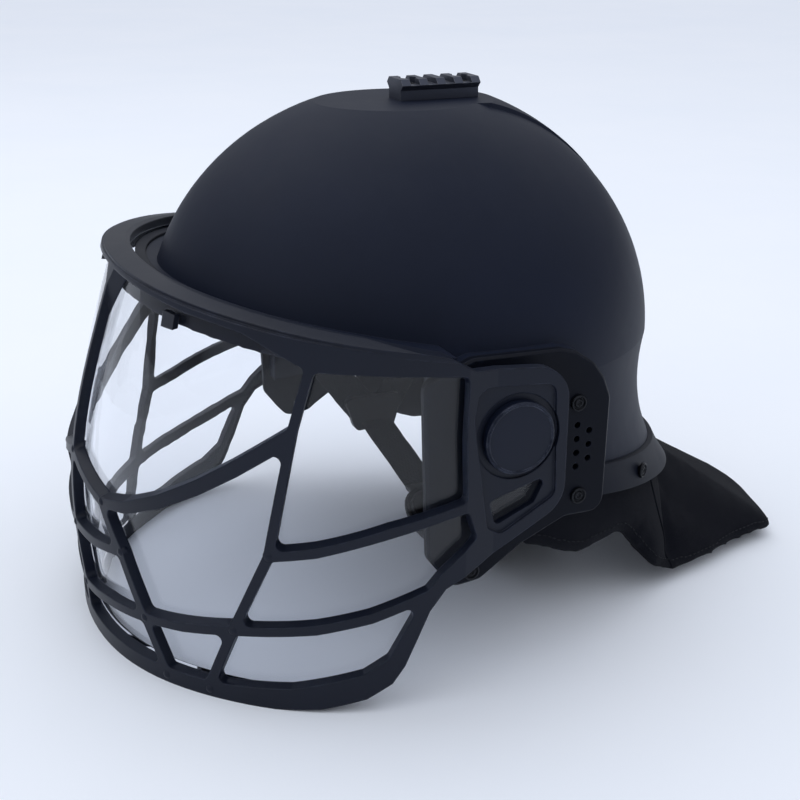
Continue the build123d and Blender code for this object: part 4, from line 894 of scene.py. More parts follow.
class Repeats:
    """The trees for knots, stitches and screw heads, each built once."""

    thread_radius = 0.00032
    stitch_share = 0.36             # half a stitch's length as a share of the pitch

    _trees: dict[str, GrowTree] = {}

    @classmethod
    def _once(
        cls, name: str, inputs: dict[str, str], spread: Callable[[GrowTree], Node]
    ) -> GrowTree:
        """A tree by name, built at its first use.

        Args:
            name: The tree's name.
            inputs: Socket type by input name, beside the material.
            spread: Adds what repeats and returns the node with its instances.

        Returns:
            The tree.
        """
        if name not in cls._trees:
            made = GrowTree(name, {**inputs, "Material": "NodeSocketMaterial"})
            made.close(spread(made).outputs[0])
            cls._trees[name] = made
        return cls._trees[name]

    @classmethod
    def knots(cls) -> GrowTree:
        """Round knots on the points of a mesh."""

        def spread(made: GrowTree) -> Node:
            """A ball on each point."""
            ball = made.sheet.add(
                "GeometryNodeMeshIcoSphere", {"Radius": made.given["Radius"], "Subdivisions": 3}
            )
            return made.sheet.add(
                "GeometryNodeInstanceOnPoints",
                {"Points": made.given["Geometry"], "Instance": ball.outputs["Mesh"]},
            )

        return cls._once("Bar knots", {"Radius": FLOAT}, spread)

    @classmethod
    def stitches(cls) -> GrowTree:
        """Short stitches that follow the edges of a mesh."""

        def spread(made: GrowTree) -> Node:
            """A stitch at each step along the edges."""
            line = made.sheet.add("GeometryNodeMeshToCurve", {"Mesh": made.given["Geometry"]})
            steps = made.sheet.add(
                "GeometryNodeCurveToPoints",
                {"Curve": line.outputs[0], "Length": made.given["Pitch"]},
                mode="LENGTH",
            )
            thread = made.sheet.add(
                "GeometryNodeMeshUVSphere", {"Segments": 6, "Rings": 5, "Radius": 1.0}
            )
            return made.sheet.add(
                "GeometryNodeInstanceOnPoints",
                {
                    "Points": steps.outputs["Points"],
                    "Instance": thread.outputs["Mesh"],
                    "Rotation": steps.outputs["Rotation"],
                    "Scale": made.given["Stitch"],
                },
            )

        sockets = {"Pitch": FLOAT, "Stitch": VECTOR}
        return cls._once("Stitch row", sockets, spread)

    @classmethod
    def heads(cls) -> GrowTree:
        """A screw on each point of a mesh, turned to the way that the point faces."""

        def spread(made: GrowTree) -> Node:
            """The screw on each point, along the attribute named facing."""
            facing = made.sheet.add(
                "GeometryNodeInputNamedAttribute", {"Name": "facing"}, data_type="FLOAT_VECTOR"
            )
            turned = made.sheet.add(
                "FunctionNodeAlignRotationToVector", {"Vector": facing.outputs[0]}, axis="Z"
            )
            model = made.sheet.add("GeometryNodeObjectInfo", {"Object": made.given["Screw"]})
            return made.sheet.add(
                "GeometryNodeInstanceOnPoints",
                {
                    "Points": made.given["Geometry"],
                    "Instance": model.outputs["Geometry"],
                    "Rotation": turned.outputs[0],
                },
            )

        return cls._once("Screw set", {"Screw": "NodeSocketObject"}, spread)

    @classmethod
    def sew(cls, name: str, rows: Sequence[Sequence[Vector]], pitch: float) -> Piece:
        """Rows of stitches as one piece.

        Args:
            name: Name of the piece.
            rows: The points that each row follows.
            pitch: From one stitch to the next, in metres.

        Returns:
            The stitches, as plain mesh.
        """
        places, edges = [], []
        for row in rows:
            first = len(places)
            places.extend([tuple(p) for p in row])
            edges.extend([(first + i, first + i + 1) for i in range(len(row) - 1)])
        mesh = bpy.data.meshes.new(name)
        mesh.from_pydata(places, edges, [])
        seed = Workshop.add(name, mesh)
        stitch = (cls.thread_radius, cls.thread_radius, cls.stitch_share * pitch)
        values = {"Pitch": pitch, "Stitch": stitch, "Material": THREAD.material()}
        return cls.stitches().grow(seed, values)


@dataclass
class StudioView:
    """The camera of the photograph."""

    target: Point = (0.0031, -0.0200, 0.1010)
    azimuth: float = 66.65
    elevation: float = 20.54
    distance: float = 0.7804
    roll: float = 0.27
    lens: float = 61.76

    def build(self) -> None:
        """Makes the camera and gives it to the scene."""
        turn, rise, roll = (math.radians(a) for a in (self.azimuth, self.elevation, self.roll))
        back = Vector(
            (math.sin(turn) * math.cos(rise), -math.cos(turn) * math.cos(rise), math.sin(rise))
        )
        right = Vector((math.cos(turn), math.sin(turn), 0.0))
        up = back.cross(right)
        side = math.cos(roll) * right + math.sin(roll) * up
        top = math.cos(roll) * up - math.sin(roll) * right
        data = bpy.data.cameras.new("photo view")
        data.sensor_width = 36.0
        data.lens = self.lens
        data.clip_start = 0.02
        data.clip_end = 60.0
        camera = Workshop.add("photo view", data)
        spot = Vector(self.target) + self.distance * back
        turned = Matrix((side, top, back)).transposed().to_4x4()
        camera.matrix_world = Matrix.Translation(spot) @ turned
        bpy.context.scene.camera = camera


@dataclass
class Lamp:
    """One soft lamp."""

    name: str
    place: Point
    aim: Point
    size: tuple[float, float]
    power: float
    colour: tuple[float, float, float] = (0.96, 0.98, 1.0)

    def build(self) -> None:
        """Hangs the lamp."""
        data = bpy.data.lights.new(self.name, "AREA")
        data.shape = "RECTANGLE"
        data.size, data.size_y = self.size
        data.energy = self.power
        data.color = self.colour
        lamp = Workshop.add(self.name, data)
        lamp.location = self.place
        way = Vector(self.aim) - Vector(self.place)
        lamp.rotation_euler = way.to_track_quat("-Z", "Y").to_euler()


@dataclass
class Studio:
    """Pale floor, soft lamps and a pale world."""

    floor_size: float = 16.0
    sky: Span = (0.27, 1.07)     # strength near the horizon and overhead
    sky_rise: Span = (0.05, 0.75)
    backdrop: Colour = tint(226, 233, 245)
    light: Colour = tint(242, 246, 255)
    lamps: list[Lamp] = field(
        default_factory=lambda: [
            Lamp("over", (-0.5, -0.6, 2.1), (0.0, 0.0, 0.1), (2.2, 2.2), 11.8),
            Lamp("front", (0.6, -2.2, 1.0), (0.0, -0.1, 0.1), (1.6, 1.0), 3.0),
        ]
    )

    def build(self) -> None:
        """Makes floor, lamps and world, and sets the view transform."""
        work = bmesh.new()
        bmesh.ops.create_grid(work, x_segments=8, y_segments=8, size=self.floor_size / 2)
        floor = Workshop.poured(work, "studio_floor")
        floor.data.materials.append(FLOOR.material())
        for lamp in self.lamps:
            lamp.build()
        world = bpy.data.worlds.new("studio")
        world.use_nodes = True
        world.node_tree.nodes.clear()
        sheet = NodeSheet(world.node_tree)
        path = sheet.add("ShaderNodeLightPath").outputs
        seen = sheet.math("MAXIMUM", path["Is Camera Ray"], path["Is Transmission Ray"])
        way = sheet.add("ShaderNodeTexCoord").outputs["Generated"]
        rise = sheet.parts(way)[2]
        strength = sheet.between(rise, self.sky_rise, self.sky)
        shown = sheet.add("ShaderNodeBackground", {"Color": self.backdrop, "Strength": 1.0})
        lit = sheet.add("ShaderNodeBackground", {"Color": self.light, "Strength": strength})
        mixed = sheet.add(
            "ShaderNodeMixShader", {0: seen, 1: lit.outputs[0], 2: shown.outputs[0]}
        )
        out = sheet.add("ShaderNodeOutputWorld")
        sheet.feed(out.inputs["Surface"], mixed.outputs[0])
        bpy.context.scene.world = world
        bpy.context.scene.view_settings.view_transform = "Standard"


@dataclass
class Padding:
    """Swells a soft piece into padded fabric by a short cloth simulation."""

    voxel: float = 0.005
    inset: float = 0.0012
    pressure: float = 4.0
    cap: float = 0.004
    passes: int = 2
    frames: int = 20

    def swell(self, node: str, name: str) -> Piece:
        """A padded piece grown from a soft CAD node.

        Args:
            node: The CAD node.
            name: Name of the new piece.

        Returns:
            The padded piece.
        """
        piece = Workshop.copied(node, name)
        Workshop.rounded(piece, self.voxel, self.passes)
        start = Workshop.read(piece.data, "co") - self.inset * Workshop.read(piece.data, "normal")
        Workshop.put(piece, start)
        end = self._simulate(piece)
        move = end - start
        length = np.linalg.norm(move, axis=1, keepdims=True)
        share = np.minimum(1.0, self.cap / np.maximum(length, 1e-9))
        Workshop.put(piece, start + move * share)
        finer = piece.modifiers.new("Finer", "SUBSURF")
        finer.levels = finer.render_levels = 1
        Workshop.bake(piece)
        Workshop.smooth(piece)
        return piece

    def _simulate(self, piece: Piece) -> np.ndarray:
        """The places of a piece's vertices after the simulation."""
        scene = bpy.context.scene
        scene.frame_set(1)
        cloth = piece.modifiers.new("Cloth", "CLOTH")
        cloth.settings.quality = 5
        cloth.settings.mass = 0.25
        cloth.settings.tension_stiffness = 12.0
        cloth.settings.compression_stiffness = 6.0
        cloth.settings.bending_stiffness = 0.3
        cloth.settings.use_pressure = True
        cloth.settings.uniform_pressure_force = self.pressure
        cloth.settings.effector_weights.gravity = 0.0
        cloth.point_cache.frame_start = 1
        cloth.point_cache.frame_end = self.frames
        for step in range(1, self.frames + 1):
            scene.frame_set(step)
            graph = bpy.context.evaluated_depsgraph_get()
            live = piece.evaluated_get(graph)
            places = Workshop.read(live.data, "co")
        piece.modifiers.remove(cloth)
        scene.frame_set(1)
        return places


@dataclass
class ScrewSet:
    """Dished star-recess screws that stand where the CAD screws are."""

    head_radius: float = 0.0042
    head_height: float = 0.0018
    shank_radius: float = 0.002
    shank_length: float = 0.006
    star_radius: float = 0.0013
    star_swing: float = 0.00026
    star_depth: float = 0.001
    seat_sink: float = 0.0003
    seat_search: float = 0.012
    seat_rays: int = 8
    seat_ring: float = 0.7
    head_share: float = 0.85        # further out than this lies only the head
    long_share: float = 1.4         # a screw is longer than this share of the head's radius
    core_share: float = 0.4         # or comes nearer to its axis than this share of its shank
    sides: int = 48
    profile: list[Span] = field(
        default_factory=lambda: [
            (0.1, -0.08), (0.18, -0.08), (0.24, -0.08), (0.28, -0.08), (0.33, -0.09),
            (0.38, -0.1), (0.45, -0.14), (0.51, -0.26), (0.55, -0.62), (0.66, -0.66),
            (0.74, -0.6), (0.78, -0.2), (0.82, -0.04), (0.88, 0.0), (0.94, -0.06),
            (0.985, -0.22), (1.0, -0.45), (1.0, -1.0), (0.5, -1.0),
        ]
    )

    def model(self) -> Piece:
        """One screw along Z with the top of its head at the origin."""
        turns = Workshop.turns(self.sides)
        rings = [
            [self._sunk(share * math.cos(turn), share * math.sin(turn), drop) for turn in turns]
            for share, drop in self.profile
        ]
        end = -self.head_height - self.shank_length
        rings.append(
            [
                (self.shank_radius * math.cos(turn), self.shank_radius * math.sin(turn), end)
                for turn in turns
            ]
        )
        work = bmesh.new()
        Workshop.turned(work, rings, self._sunk(0.0, 0.0, self.profile[0][1]))
        return Workshop.poured(work, "one_screw")

    def _sunk(self, x: float, y: float, drop: float) -> Point:
        """A point of the head's top, sunk where the star recess is."""
        x, y = x * self.head_radius, y * self.head_radius
        edge = self.star_radius + self.star_swing * math.cos(6 * math.atan2(y, x))
        depth = self.star_depth if math.hypot(x, y) < edge else 0.0
        return (x, y, drop * self.head_height - depth)

    def build(self, node: str, name: str, body: Body, seat: str = "") -> Piece:
        """Puts a screw wherever a CAD node has one.

        Args:
            node: The CAD node that holds the screws.
            name: Name of the new piece.
            body: The body that it moves with.
            seat: The CAD node that the heads are screwed down on, if they stand off it.

        Returns:
            The screws, as one piece.
        """
        tops, ways, rest = self._read(node)
        if seat:
            tree = Workshop.surface(frame["nodes"][seat])
            tops = [self._seated(tree, top, way) for top, way in zip(tops, ways)]
        seed = Workshop.dots(name, tops)
        facing = seed.data.attributes.new("facing", "FLOAT_VECTOR", "POINT")
        facing.data.foreach_set("vector", [c for way in ways for c in way])
        model = self.model()
        values = {"Screw": model, "Material": SCREW_STEEL.material()}
        made = Repeats.heads().grow(seed, values)
        bpy.data.objects.remove(model)
        if rest is not None:
            work = bmesh.new()
            work.from_mesh(made.data)
            spare = bpy.data.meshes.new("nuts")
            rest.to_mesh(spare)
            work.from_mesh(spare)
            work.to_mesh(made.data)
            work.free()
            rest.free()
        return Dresser.place(made, body, Slot.SCREW, SCREW_STEEL, [node])

    def _seated(self, tree: BVHTree, top: Vector, way: Vector) -> Vector:
        """The top of a head that is screwed down on a surface."""
        aside = way.orthogonal().normalized() * (self.seat_ring * self.head_radius)
        gaps = []
        for turn in Workshop.turns(self.seat_rays):
            start = top + Matrix.Rotation(turn, 3, way) @ aside
            away = tree.ray_cast(start, -way, self.seat_search)[3]
            if away is not None:
                gaps.append(away)
        return top - (min(gaps) - self.head_height + self.seat_sink) * way if gaps else top

    def _read(self, node: str) -> tuple[list[Vector], list[Vector], Work | None]:
        """Finds the screws of a CAD node.

        Args:
            node: The CAD node.

        Returns:
            The middle of each head's top, the way that it faces, and the mesh of the nuts.
        """
        work = Workshop.merged(node)
        work.faces.index_update()
        work.normal_update()
        tops, ways, screws = [], [], []
        for island in self._islands(work):
            axis, top, is_screw = self._measure(island)
            if is_screw:
                tops.append(top)
                ways.append(axis)
                screws.extend(island)
        bmesh.ops.delete(work, geom=screws, context="VERTS")
        if len(work.verts):
            return tops, ways, work
        work.free()
        return tops, ways, None

    @staticmethod
    def _islands(work: Work) -> list[list[Vert]]:
        """The loose parts of a mesh, each as its vertices."""
        left, islands = dict.fromkeys(work.verts), []
        while left:
            stack = [next(iter(left))]
            del left[stack[0]]
            island = []
            while stack:
                vert = stack.pop()
                island.append(vert)
                for edge in vert.link_edges:
                    other = edge.other_vert(vert)
                    if other in left:
                        del left[other]
                        stack.append(other)
            islands.append(island)
        return sorted(islands, key=lambda group: min(tuple(vert.co) for vert in group))

    def _measure(self, island: list[Vert]) -> tuple[Vector, Vector, bool]:
        """Finds a loose part's axis, the middle of its top, and whether it is a screw."""
        places = np.array([vert.co for vert in island])
        spread = np.zeros((3, 3))
        for face in dict.fromkeys(face for vert in island for face in vert.link_faces):
            normal = np.array(face.normal)
            spread += face.calc_area() * np.outer(normal, normal)
        values, vectors = np.linalg.eigh(spread)
        lone = 0 if values[1] - values[0] > values[2] - values[1] else 2
        axis = vectors[:, lone]
        along = places @ axis
        middle = places - np.outer(along, axis)
        centre = (middle.max(0) + middle.min(0)) / 2
        radii = np.linalg.norm(middle - centre, axis=1)
        wide = along[radii > self.head_share * self.head_radius]
        if len(wide) and wide.mean() < along.mean():
            axis, along, wide = -axis, -along, -wide
        length = along.max() - along.min()
        top = centre + axis * along.max()
        is_long = length > self.long_share * self.head_radius
        has_core = radii.min() < self.core_share * self.shank_radius
        return Vector(axis), Vector(top), bool(is_long or has_core)


@dataclass
class Shell:
    """Outer shell with its rail, its edge trim and its rear rim band."""

    screws: ScrewSet = field(default_factory=ScrewSet)

    def build(self) -> None:
        """Dresses the shell and its trims."""
        Dresser.keep(SHELL_PAINT, "shell")
        Dresser.keep(RAIL_METAL, "accessory_rail")
        self.screws.build("rail_screws", "rail_screw_set", Body.HELMET)
        self.screws.build("rim_band_screws", "rim_screw_set", Body.HELMET, "rear_rim_band")
        Dresser.keep(EDGE_RUBBER, "brim_trim", "rear_rim_band")


@dataclass
class Visor:
    """Barred frame, lens, seal and clips."""

    axis_y: float = -0.050
    knot_radius: float = 0.0031
    knot_sink: float = 0.0022
    reach: float = 0.3              # from where the visor is looked for
    seal_voxel: float = 0.0009
    seal_passes: int = 4
    knots: list[Span] = field(      # heading in degrees, height in mm
        default_factory=lambda: [
            (0.0, 22.0), (0.0, 58.0), (0.0, 99.0), (16.5, 87.0), (22.2, 65.0), (27.2, 32.8),
            (54.6, 82.5), (47.3, 40.0), (31.8, 4.0), (41.8, 4.0),
        ]
    )

    def build(self) -> None:
        """Adds the knots, rounds the seal and dresses the rest."""
        Dresser.keep(CAGE_PLASTIC, "visor_cage")
        Dresser.place(self._knots(), Body.VISOR, Slot.CAGE, CAGE_PLASTIC)
        seal = Workshop.copied("lens_top_seal", "top_seal")
        Workshop.rounded(seal, self.seal_voxel, self.seal_passes)
        Dresser.place(seal, Body.VISOR, Slot.EDGE, EDGE_RUBBER, ["lens_top_seal"])
        Dresser.keep(LENS_CLEAR, "visor_lens")
        Dresser.keep(CLIP_PLASTIC, "lens_clips")
        Dresser.keep(BUSH_PLASTIC, "visor_bush_left", "visor_bush_right")

    def _knots(self) -> Piece:
        """Small round swellings where bars cross, on both sides."""
        tree = Workshop.surface(frame["nodes"]["visor_cage"])
        places = []
        for degrees, height in self.knots:
            for side in (1, -1) if degrees else (1,):
                turn = math.radians(degrees) * side
                way = Vector((math.sin(turn), -math.cos(turn), 0.0))
                start = Vector((0.0, self.axis_y, height / 1000)) + self.reach * way
                hit = tree.ray_cast(start, -way)[0]
                if hit:
                    places.append(hit - way * self.knot_sink)
        values = {"Radius": self.knot_radius, "Material": CAGE_PLASTIC.material()}
        return Repeats.knots().grow(Workshop.dots("bar_knots", places), values)


@dataclass
class Hinges:
    """Hinge plates, pivots, washers, knobs and their screws."""

    screws: ScrewSet = field(default_factory=ScrewSet)
    sides: int = 128
    # Sharp edges let the edge mask paint the rim highlight.
    crisp: float = 30.0             # edges that turn more than this stay sharp
    crown: float = 0.44             # how deep the middle lies, in mm
    chamfer: Span = (0.98, 0.0004)
    face: list[Span] = field(       # share of the radius, depth in mm
        default_factory=lambda: [
            (0.2, 0.45), (0.4, 0.47), (0.6, 0.52), (0.76, 0.6), (0.86, 0.68), (0.9, 0.7),
            (0.91, 0.05), (0.92, 0.0), (0.935, 0.0), (0.95, 0.12), (0.96, 0.8), (0.985, 0.95),
            (1.0, 1.5),
        ]
    )

    def build(self) -> None:
        """Dresses both hinges."""
        Dresser.keep(FRAME_PLASTIC, "hinge_plate_left", "hinge_plate_right")
        Dresser.keep(STUD_STEEL, "pivot_stud_left", "pivot_stud_right")
        for node in ("pivot_knob_left", "pivot_knob_right"):
            self._knob(node)
        Dresser.keep(BUSH_PLASTIC, "friction_washers")
        self.screws.build("plate_screws", "plate_screw_set", Body.HELMET)

    def _knob(self, node: str) -> Piece:
        """A turned knob with a shallow crowned face inside a thin rim, on which its finish paints a
        highlight.

        Args:
            node: The CAD knob that it stands for.

        Returns:
            The knob.
        """
        low, high = (Vector(corner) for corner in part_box(node))
        middle, radius = (low + high) / 2, (high.y - low.y) / 2
        side = 1 if middle.x > 0 else -1
        outer, inner = (high.x, low.x) if side > 0 else (low.x, high.x)
        profile = [(share * radius, outer - side * drop / 1000) for share, drop in self.face]
        narrow, rise = self.chamfer
        profile += [(radius, inner + side * rise), (narrow * radius, inner)]
        turns = Workshop.turns(self.sides)
        rings = [
            [(x, middle.y + away * math.cos(t), middle.z + away * math.sin(t)) for t in turns]
            for away, x in profile
        ]
        top = (outer - side * self.crown / 1000, middle.y, middle.z)
        work = bmesh.new()
        Workshop.turned(work, rings, top, (inner, middle.y, middle.z))
        piece = Workshop.poured(work, node + "_turned")
        Workshop.smooth(piece)
        piece.data.set_sharp_from_angle(angle=math.radians(self.crisp))
        body = Body.KNOB_LEFT if side > 0 else Body.KNOB_RIGHT
        return Dresser.place(piece, body, Slot.KNOB, KNOB_PLASTIC, [node])


@dataclass
class Liner:
    """Impact liner, comfort pads, headband and size dial."""

    pads: dict[str, Padding] = field(
        default_factory=lambda: {
            "crown_pad": Padding(voxel=0.0045, cap=0.0022),
            "brow_pad": Padding(voxel=0.004, cap=0.0016),
            "nape_pad": Padding(voxel=0.0035, cap=0.0014),
            "ear_pad_left": Padding(voxel=0.0026, cap=0.0016),
            "ear_pad_right": Padding(voxel=0.0026, cap=0.0016),
        }
    )

    def build(self) -> None:
        """Dresses the inside."""
        Dresser.keep(BLOWN_FOAM, "impact_liner")
        Dresser.keep(BAND_PLASTIC, "headband", "nape_cradle", "size_dial")
        for node, padding in self.pads.items():
            piece = padding.swell(node, node + "_cloth")
            Dresser.place(piece, Body.HELMET, Slot.PAD, PAD_FABRIC, [node])


@dataclass
class Webbing:
    """A flat woven strap that lies where a CAD strap is."""

    node: str
    step: float = 0.003
    slack: float = 0.0003
    slack_wave: Span = (5.3, 0.7)
    profile: tuple[Span, ...] = ((1.0, 0.0), (0.97, 0.55), (0.92, 0.85), (0.82, 1.0))
    sewn_from: float = 0.03         # shorter straps have no box stitching
    sewn_box: Span = (0.004, 0.018)
    sewn_margin: float = 0.003
    sewn_lift: float = 0.0001
    sewn_pitch: float = 0.0026
    least_steps: int = 4
    flat_angle: float = 0.01
    flat_slope: float = 0.05        # edges steeper than this run through the strap

    def build(self) -> Piece:
        """Makes the strap as a ribbon with rounded edges and its own UV map.

        Returns:
            The strap.
        """
        centre, axes, half = self._box()
        along, across, through = axes
        steps = max(self.least_steps, int(2 * half[0] / self.step))
        ring = self._ring(half[1], half[2])
        work = bmesh.new()
        layer = work.loops.layers.uv.new("UVMap")
        loops = []
        for index in range(steps + 1):
            share = 2 * index / steps - 1
            rate, phase = self.slack_wave
            wave = self.slack * math.sin(rate * share + phase) * (1 - share**2)
            middle = centre + along * (share * half[0]) + through * wave
            loops.append([work.verts.new(middle + across * u + through * t) for u, t in ring])
        count = len(ring)
        walk = [0.0]
        for here, there in zip(ring, ring[1:] + ring[:1]):
            walk.append(walk[-1] + math.dist(here, there))
        for index in range(steps):
            for turn in range(count):
                after = (turn + 1) % count
                corners = (
                    loops[index][turn], loops[index][after],
                    loops[index + 1][after], loops[index + 1][turn],
                )
                face = work.faces.new(corners)
                face.smooth = True
                near, far = walk[turn], walk[turn + 1]
                low, high = index * self.step, (index + 1) * self.step
                marks = ((near, low), (far, low), (far, high), (near, high))
                for loop, mark in zip(face.loops, marks):
                    loop[layer].uv = mark
        work.faces.new(list(reversed(loops[0])))
        work.faces.new(loops[-1])
        bmesh.ops.recalc_face_normals(work, faces=work.faces)
        piece = Workshop.poured(work, self.node + "_web")
        Dresser.place(piece, Body.HELMET, Slot.WEBBING, WEBBING, [self.node])
        if 2 * half[0] > self.sewn_from:
            self._sew(centre, axes, half)
        return piece

    def _ring(self, half_width: float, half_thickness: float) -> list[Span]:
        """The strap's cross-section, thinner at its woven edges."""
        left = [(-u * half_width, t * half_thickness) for u, t in self.profile]
        right = [(-u, t) for u, t in reversed(left[1:])]
        upper = left + [(0.0, half_thickness)] + right
        return upper + [(-u, -t) for u, t in upper]

    def _box(self) -> tuple[Vector, tuple[Vector, Vector, Vector], Vector]:
        """The CAD strap's middle, its axes (along, across, through) and half sizes."""
        work = Workshop.merged(self.node)
        areas: dict[tuple, float] = {}
        for face in work.faces:
            normal = face.normal if face.normal.x >= 0 else -face.normal
            key = tuple(round(c, 3) for c in normal)
            areas[key] = areas.get(key, 0.0) + face.calc_area()
        through = Vector(max(areas, key=areas.get)).normalized()
        bmesh.ops.dissolve_limit(
            work, angle_limit=self.flat_angle, use_dissolve_boundaries=True,
            verts=work.verts, edges=work.edges,
        )
        flat = [
            e for e in work.edges
            if abs((e.verts[0].co - e.verts[1].co).normalized().dot(through)) < self.flat_slope
        ]
        longest = max(flat, key=lambda e: e.calc_length())
        along = (longest.verts[1].co - longest.verts[0].co).normalized()
        across = through.cross(along).normalized()
        axes = (along, across, through)
        spans = [[v.co.dot(axis) for v in work.verts] for axis in axes]
        work.free()
        middle = [(max(s) + min(s)) / 2 for s in spans]
        half = Vector([(max(s) - min(s)) / 2 for s in spans])
        centre = along * middle[0] + across * middle[1] + through * middle[2]
        return centre, axes, half

    def _sew(self, centre: Vector, axes: tuple[Vector, Vector, Vector], half: Vector) -> None:
        """Box stitching with a cross at both ends, on both faces."""
        along, across, through = axes
        rows = []
        for end in (-1, 1):
            for face in (-1, 1):
                near, far = (half[0] - inset for inset in self.sewn_box)
                wide = half[1] - self.sewn_margin
                lift = face * (half[2] + self.sewn_lift)
                corners = []
                for a, b in ((near, wide), (near, -wide), (far, -wide), (far, wide)):
                    corners.append(centre + along * (end * a) + across * b + through * lift)
                rows.append(corners + [corners[0]])
                rows.append([corners[0], corners[2]])
                rows.append([corners[1], corners[3]])
        piece = Repeats.sew(self.node + "_stitches", rows, self.sewn_pitch)
        Dresser.place(piece, Body.HELMET, Slot.WEBBING, THREAD)


@dataclass
class Harness:
    """Chin straps, their adjusters and buckle, and the chin cup."""

    straps: tuple[str, ...] = (
        "front_strap_left", "front_strap_right", "rear_strap_left", "rear_strap_right",
        "chin_strap_left", "chin_strap_right", "buckle_strap",
    )
    cup_voxel: float = 0.0012
    cup_passes: int = 5
    lining: Padding = field(
        default_factory=lambda: Padding(voxel=0.0022, inset=0.0006, cap=0.001)
    )

    def build(self) -> None:
        """Makes the straps and dresses the rest."""
        for node in self.straps:
            Webbing(node).build()
        Dresser.keep(BUCKLE_PLASTIC, "buckle_body", "buckle_tongue", "strap_adjusters")
        Dresser.keep(BUTTON_PLASTIC, "release_button")
        Dresser.keep(STUD_STEEL, "strap_rivets")
        cup = Workshop.copied("chin_cup", "chin_cup_shell")
        Workshop.rounded(cup, self.cup_voxel, self.cup_passes)
        Dresser.place(cup, Body.HELMET, Slot.CUP, CUP_PLASTIC, ["chin_cup"])
        lining = self.lining.swell("chin_cup_pad", "chin_cup_lining")
        Dresser.place(lining, Body.HELMET, Slot.PAD, PAD_FABRIC, ["chin_cup_pad"])


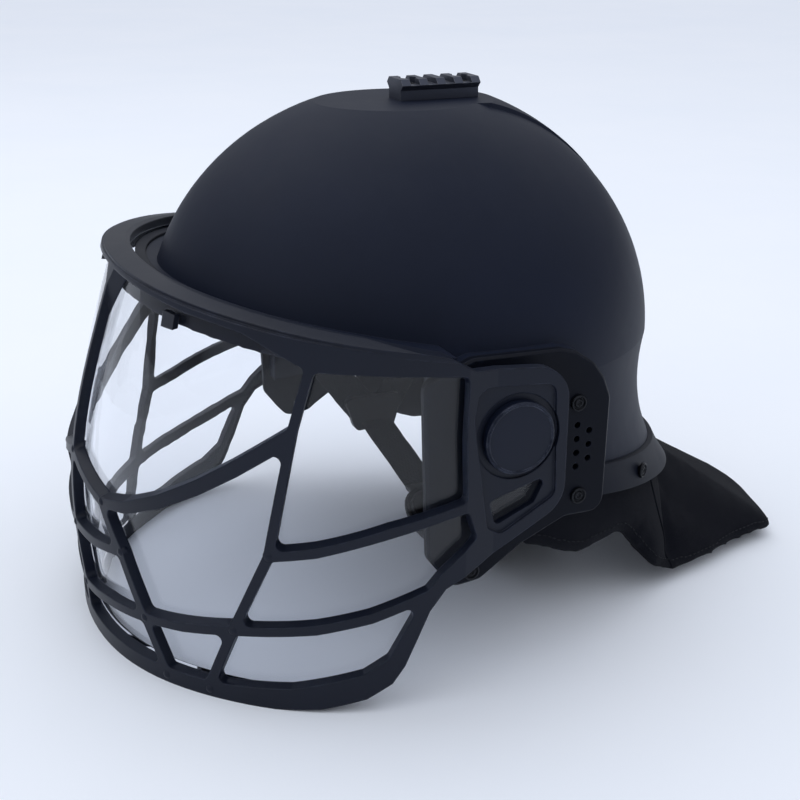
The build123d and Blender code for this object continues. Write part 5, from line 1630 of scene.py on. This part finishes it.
@dataclass
class NeckGuard:
    """Padded skirt under the rear rim, with folds, a turned hem and stitching."""

    rim_side: Span = (0.042, 0.079)
    rim_rear: Span = (0.150, 0.057)
    padding: Padding = field(
        default_factory=lambda: Padding(voxel=0.0036, inset=0.001, cap=0.004, passes=7)
    )
    grip: Span = (0.008, 0.03)       # no folds down to here, full folds below
    front: Span = (0.02, 0.06)
    front_least: float = 0.35
    fold_depth: float = 0.0016
    folds: list[tuple[float, ...]] = field(         # share, per heading, per height, side, phase
        default_factory=lambda: [
            (0.6, 9.0, 8.0, 0.6, 0.0), (0.3, 21.0, -31.0, 1.1, 0.8), (0.1, 7.0, 60.0, 0.0, 0.0),
        ]
    )
    hem_lift: Span = (0.007, 0.0045)
    hem_sector: float = math.radians(3.0)
    hem_height: float = 0.008
    hem_full: float = 1.4
    hem_passes: int = 60
    hem_steps: int = 120
    hem_step: float = math.radians(0.92)
    hem_search: tuple[float, float, int] = (0.003, 0.001, 60)
    hem_out: float = 0.0002
    hem_pitch: float = 0.0036
    ray_start: float = 0.4          # from how far out the guard's face is looked for
    ray_reach: float = 0.36
    faces_out: float = 0.1
    seam_search: tuple[float, float, int] = (0.008, 0.002, 30)
    centre_y: float = 0.02
    seam_turns: tuple[float, ...] = (0.775,)
    seam_radius: float = 0.0007
    seam_spots: int = 4             # a seam with fewer places is left out

    def rim_height(self, y: np.ndarray) -> np.ndarray:
        """Height of the shell's lower edge at places along the helmet."""
        (y0, z0), (y1, z1) = self.rim_side, self.rim_rear
        return z0 + (z1 - z0) * np.clip((y - y0) / (y1 - y0), 0.0, None)

    def build(self) -> None:
        """Makes the guard from its CAD solid, then folds and hems it."""
        piece = self.padding.swell("neck_guard", "guard_cloth")
        self._calm_hem(piece)
        self._fold(piece)
        Dresser.place(piece, Body.HELMET, Slot.GUARD, GUARD_FABRIC, ["neck_guard"])
        self._stitch(piece)

    def _calm_hem(self, piece: Piece) -> None:
        """Relaxes the hem, where the remesh leaves small teeth."""
        places = Workshop.read(piece.data, "co")
        turn = np.arctan2(places[:, 0], places[:, 1] - self.centre_y)
        sector = np.floor(turn / self.hem_sector).astype(int)
        group = piece.vertex_groups.new(name="hem")
        for one in np.unique(sector):
            rows = np.flatnonzero(sector == one)
            rise = places[rows, 2] - places[rows, 2].min()
            for row, share in zip(rows, np.clip(self.hem_full - rise / self.hem_height, 0.0, 1.0)):
                group.add([int(row)], float(share), "REPLACE")
        relax = piece.modifiers.new("Hem", "SMOOTH")
        relax.vertex_group = "hem"
        relax.factor = 0.5
        relax.iterations = self.hem_passes
        Workshop.bake(piece)

    def _fold(self, piece: Piece) -> None:
        """Soft folds that run from the rim to the hem, none where the shell grips."""
        places, normals = Workshop.read(piece.data, "co"), Workshop.read(piece.data, "normal")
        x, y, z = places.T
        start, full = self.grip
        below = np.clip((self.rim_height(y) - start - z) / full, 0.0, 1.0)
        middle, length = self.front
        below = below * np.clip((y - middle) / length, self.front_least, 1.0)
        turn = np.arctan2(np.abs(x), y - self.centre_y)
        wave = sum(
            share * np.sin(heading * turn + height * z + aside * np.sign(x) + phase)
            for share, heading, height, aside, phase in self.folds
        )
        move = self.fold_depth * below * wave
        Workshop.put(piece, places + normals * move[:, None])

    def _outside(self, tree: BVHTree, turn: float, height: float) -> tuple | None:
        """The place and normal of the guard's outer face at a heading and a height."""
        way = Vector((math.sin(turn), math.cos(turn), 0.0))
        start = Vector((0.0, self.centre_y, height)) + self.ray_start * way
        hit, normal, _, _ = tree.ray_cast(start, -way, self.ray_reach)
        return (hit, normal) if hit and normal.dot(way) > self.faces_out else None

    def _stitch(self, piece: Piece) -> None:
        """A row of stitches along the hem and corded seams, on the outer face."""
        tree = Workshop.surface(piece)
        row = []
        for step in range(-self.hem_steps, self.hem_steps + 1):
            turn = step * self.hem_step
            heights = self._heights(self.hem_search)
            low = next((z for z in heights if self._outside(tree, turn, z)), None)
            if low is None:
                continue
            side, rear = self.hem_lift
            found = self._outside(tree, turn, low + side + (rear - side) * max(0.0, math.cos(turn)))
            if found:
                row.append(found[0] + self.hem_out * found[1])
        thread = Repeats.sew("guard_stitches", [row], self.hem_pitch)
        Dresser.place(thread, Body.HELMET, Slot.GUARD, THREAD)
        paths = []
        for turn in self.seam_turns:
            for side in (1, -1):
                heights = self._heights(self.seam_search)
                spots = [self._outside(tree, side * turn, height) for height in heights]
                paths.append([found[0] for found in spots if found])
        self._cord_seams(paths)

    @staticmethod
    def _heights(search: tuple[float, float, int]) -> list[float]:
        """Heights from a first one on, by a step, so many of them."""
        first, step, count = search
        return [first + step * index for index in range(count)]

    def _cord_seams(self, paths: list[list[Vector]]) -> None:
        """Thin raised seams that follow rows of places."""
        line = bpy.data.curves.new("guard_seams", "CURVE")
        line.dimensions = "3D"
        line.bevel_depth = self.seam_radius
        line.bevel_resolution = 2
        line.use_fill_caps = True
        for path in paths:
            if len(path) >= self.seam_spots:
                spline = line.splines.new("POLY")
                spline.points.add(len(path) - 1)
                for point, spot in zip(spline.points, path):
                    point.co = (*spot, 1.0)
        seams = Workshop.add("guard_seams", line)
        mesh = Workshop.final(seams)
        bpy.data.objects.remove(seams)
        piece = Workshop.add("guard_seams", mesh)
        Workshop.smooth(piece)
        Dresser.place(piece, Body.HELMET, Slot.GUARD, GUARD_FABRIC)


def main() -> None:
    """Builds the studio and every sub-assembly in order."""
    logging.basicConfig(level=logging.INFO, format="%(name)s: %(message)s")
    parts = (StudioView(), Studio(), Shell(), Visor(), Hinges(), Liner(), Harness(), NeckGuard())
    for part in parts:
        part.build()
        LOG.info("%s done", type(part).__name__)


if __name__ == "__main__":
    main()
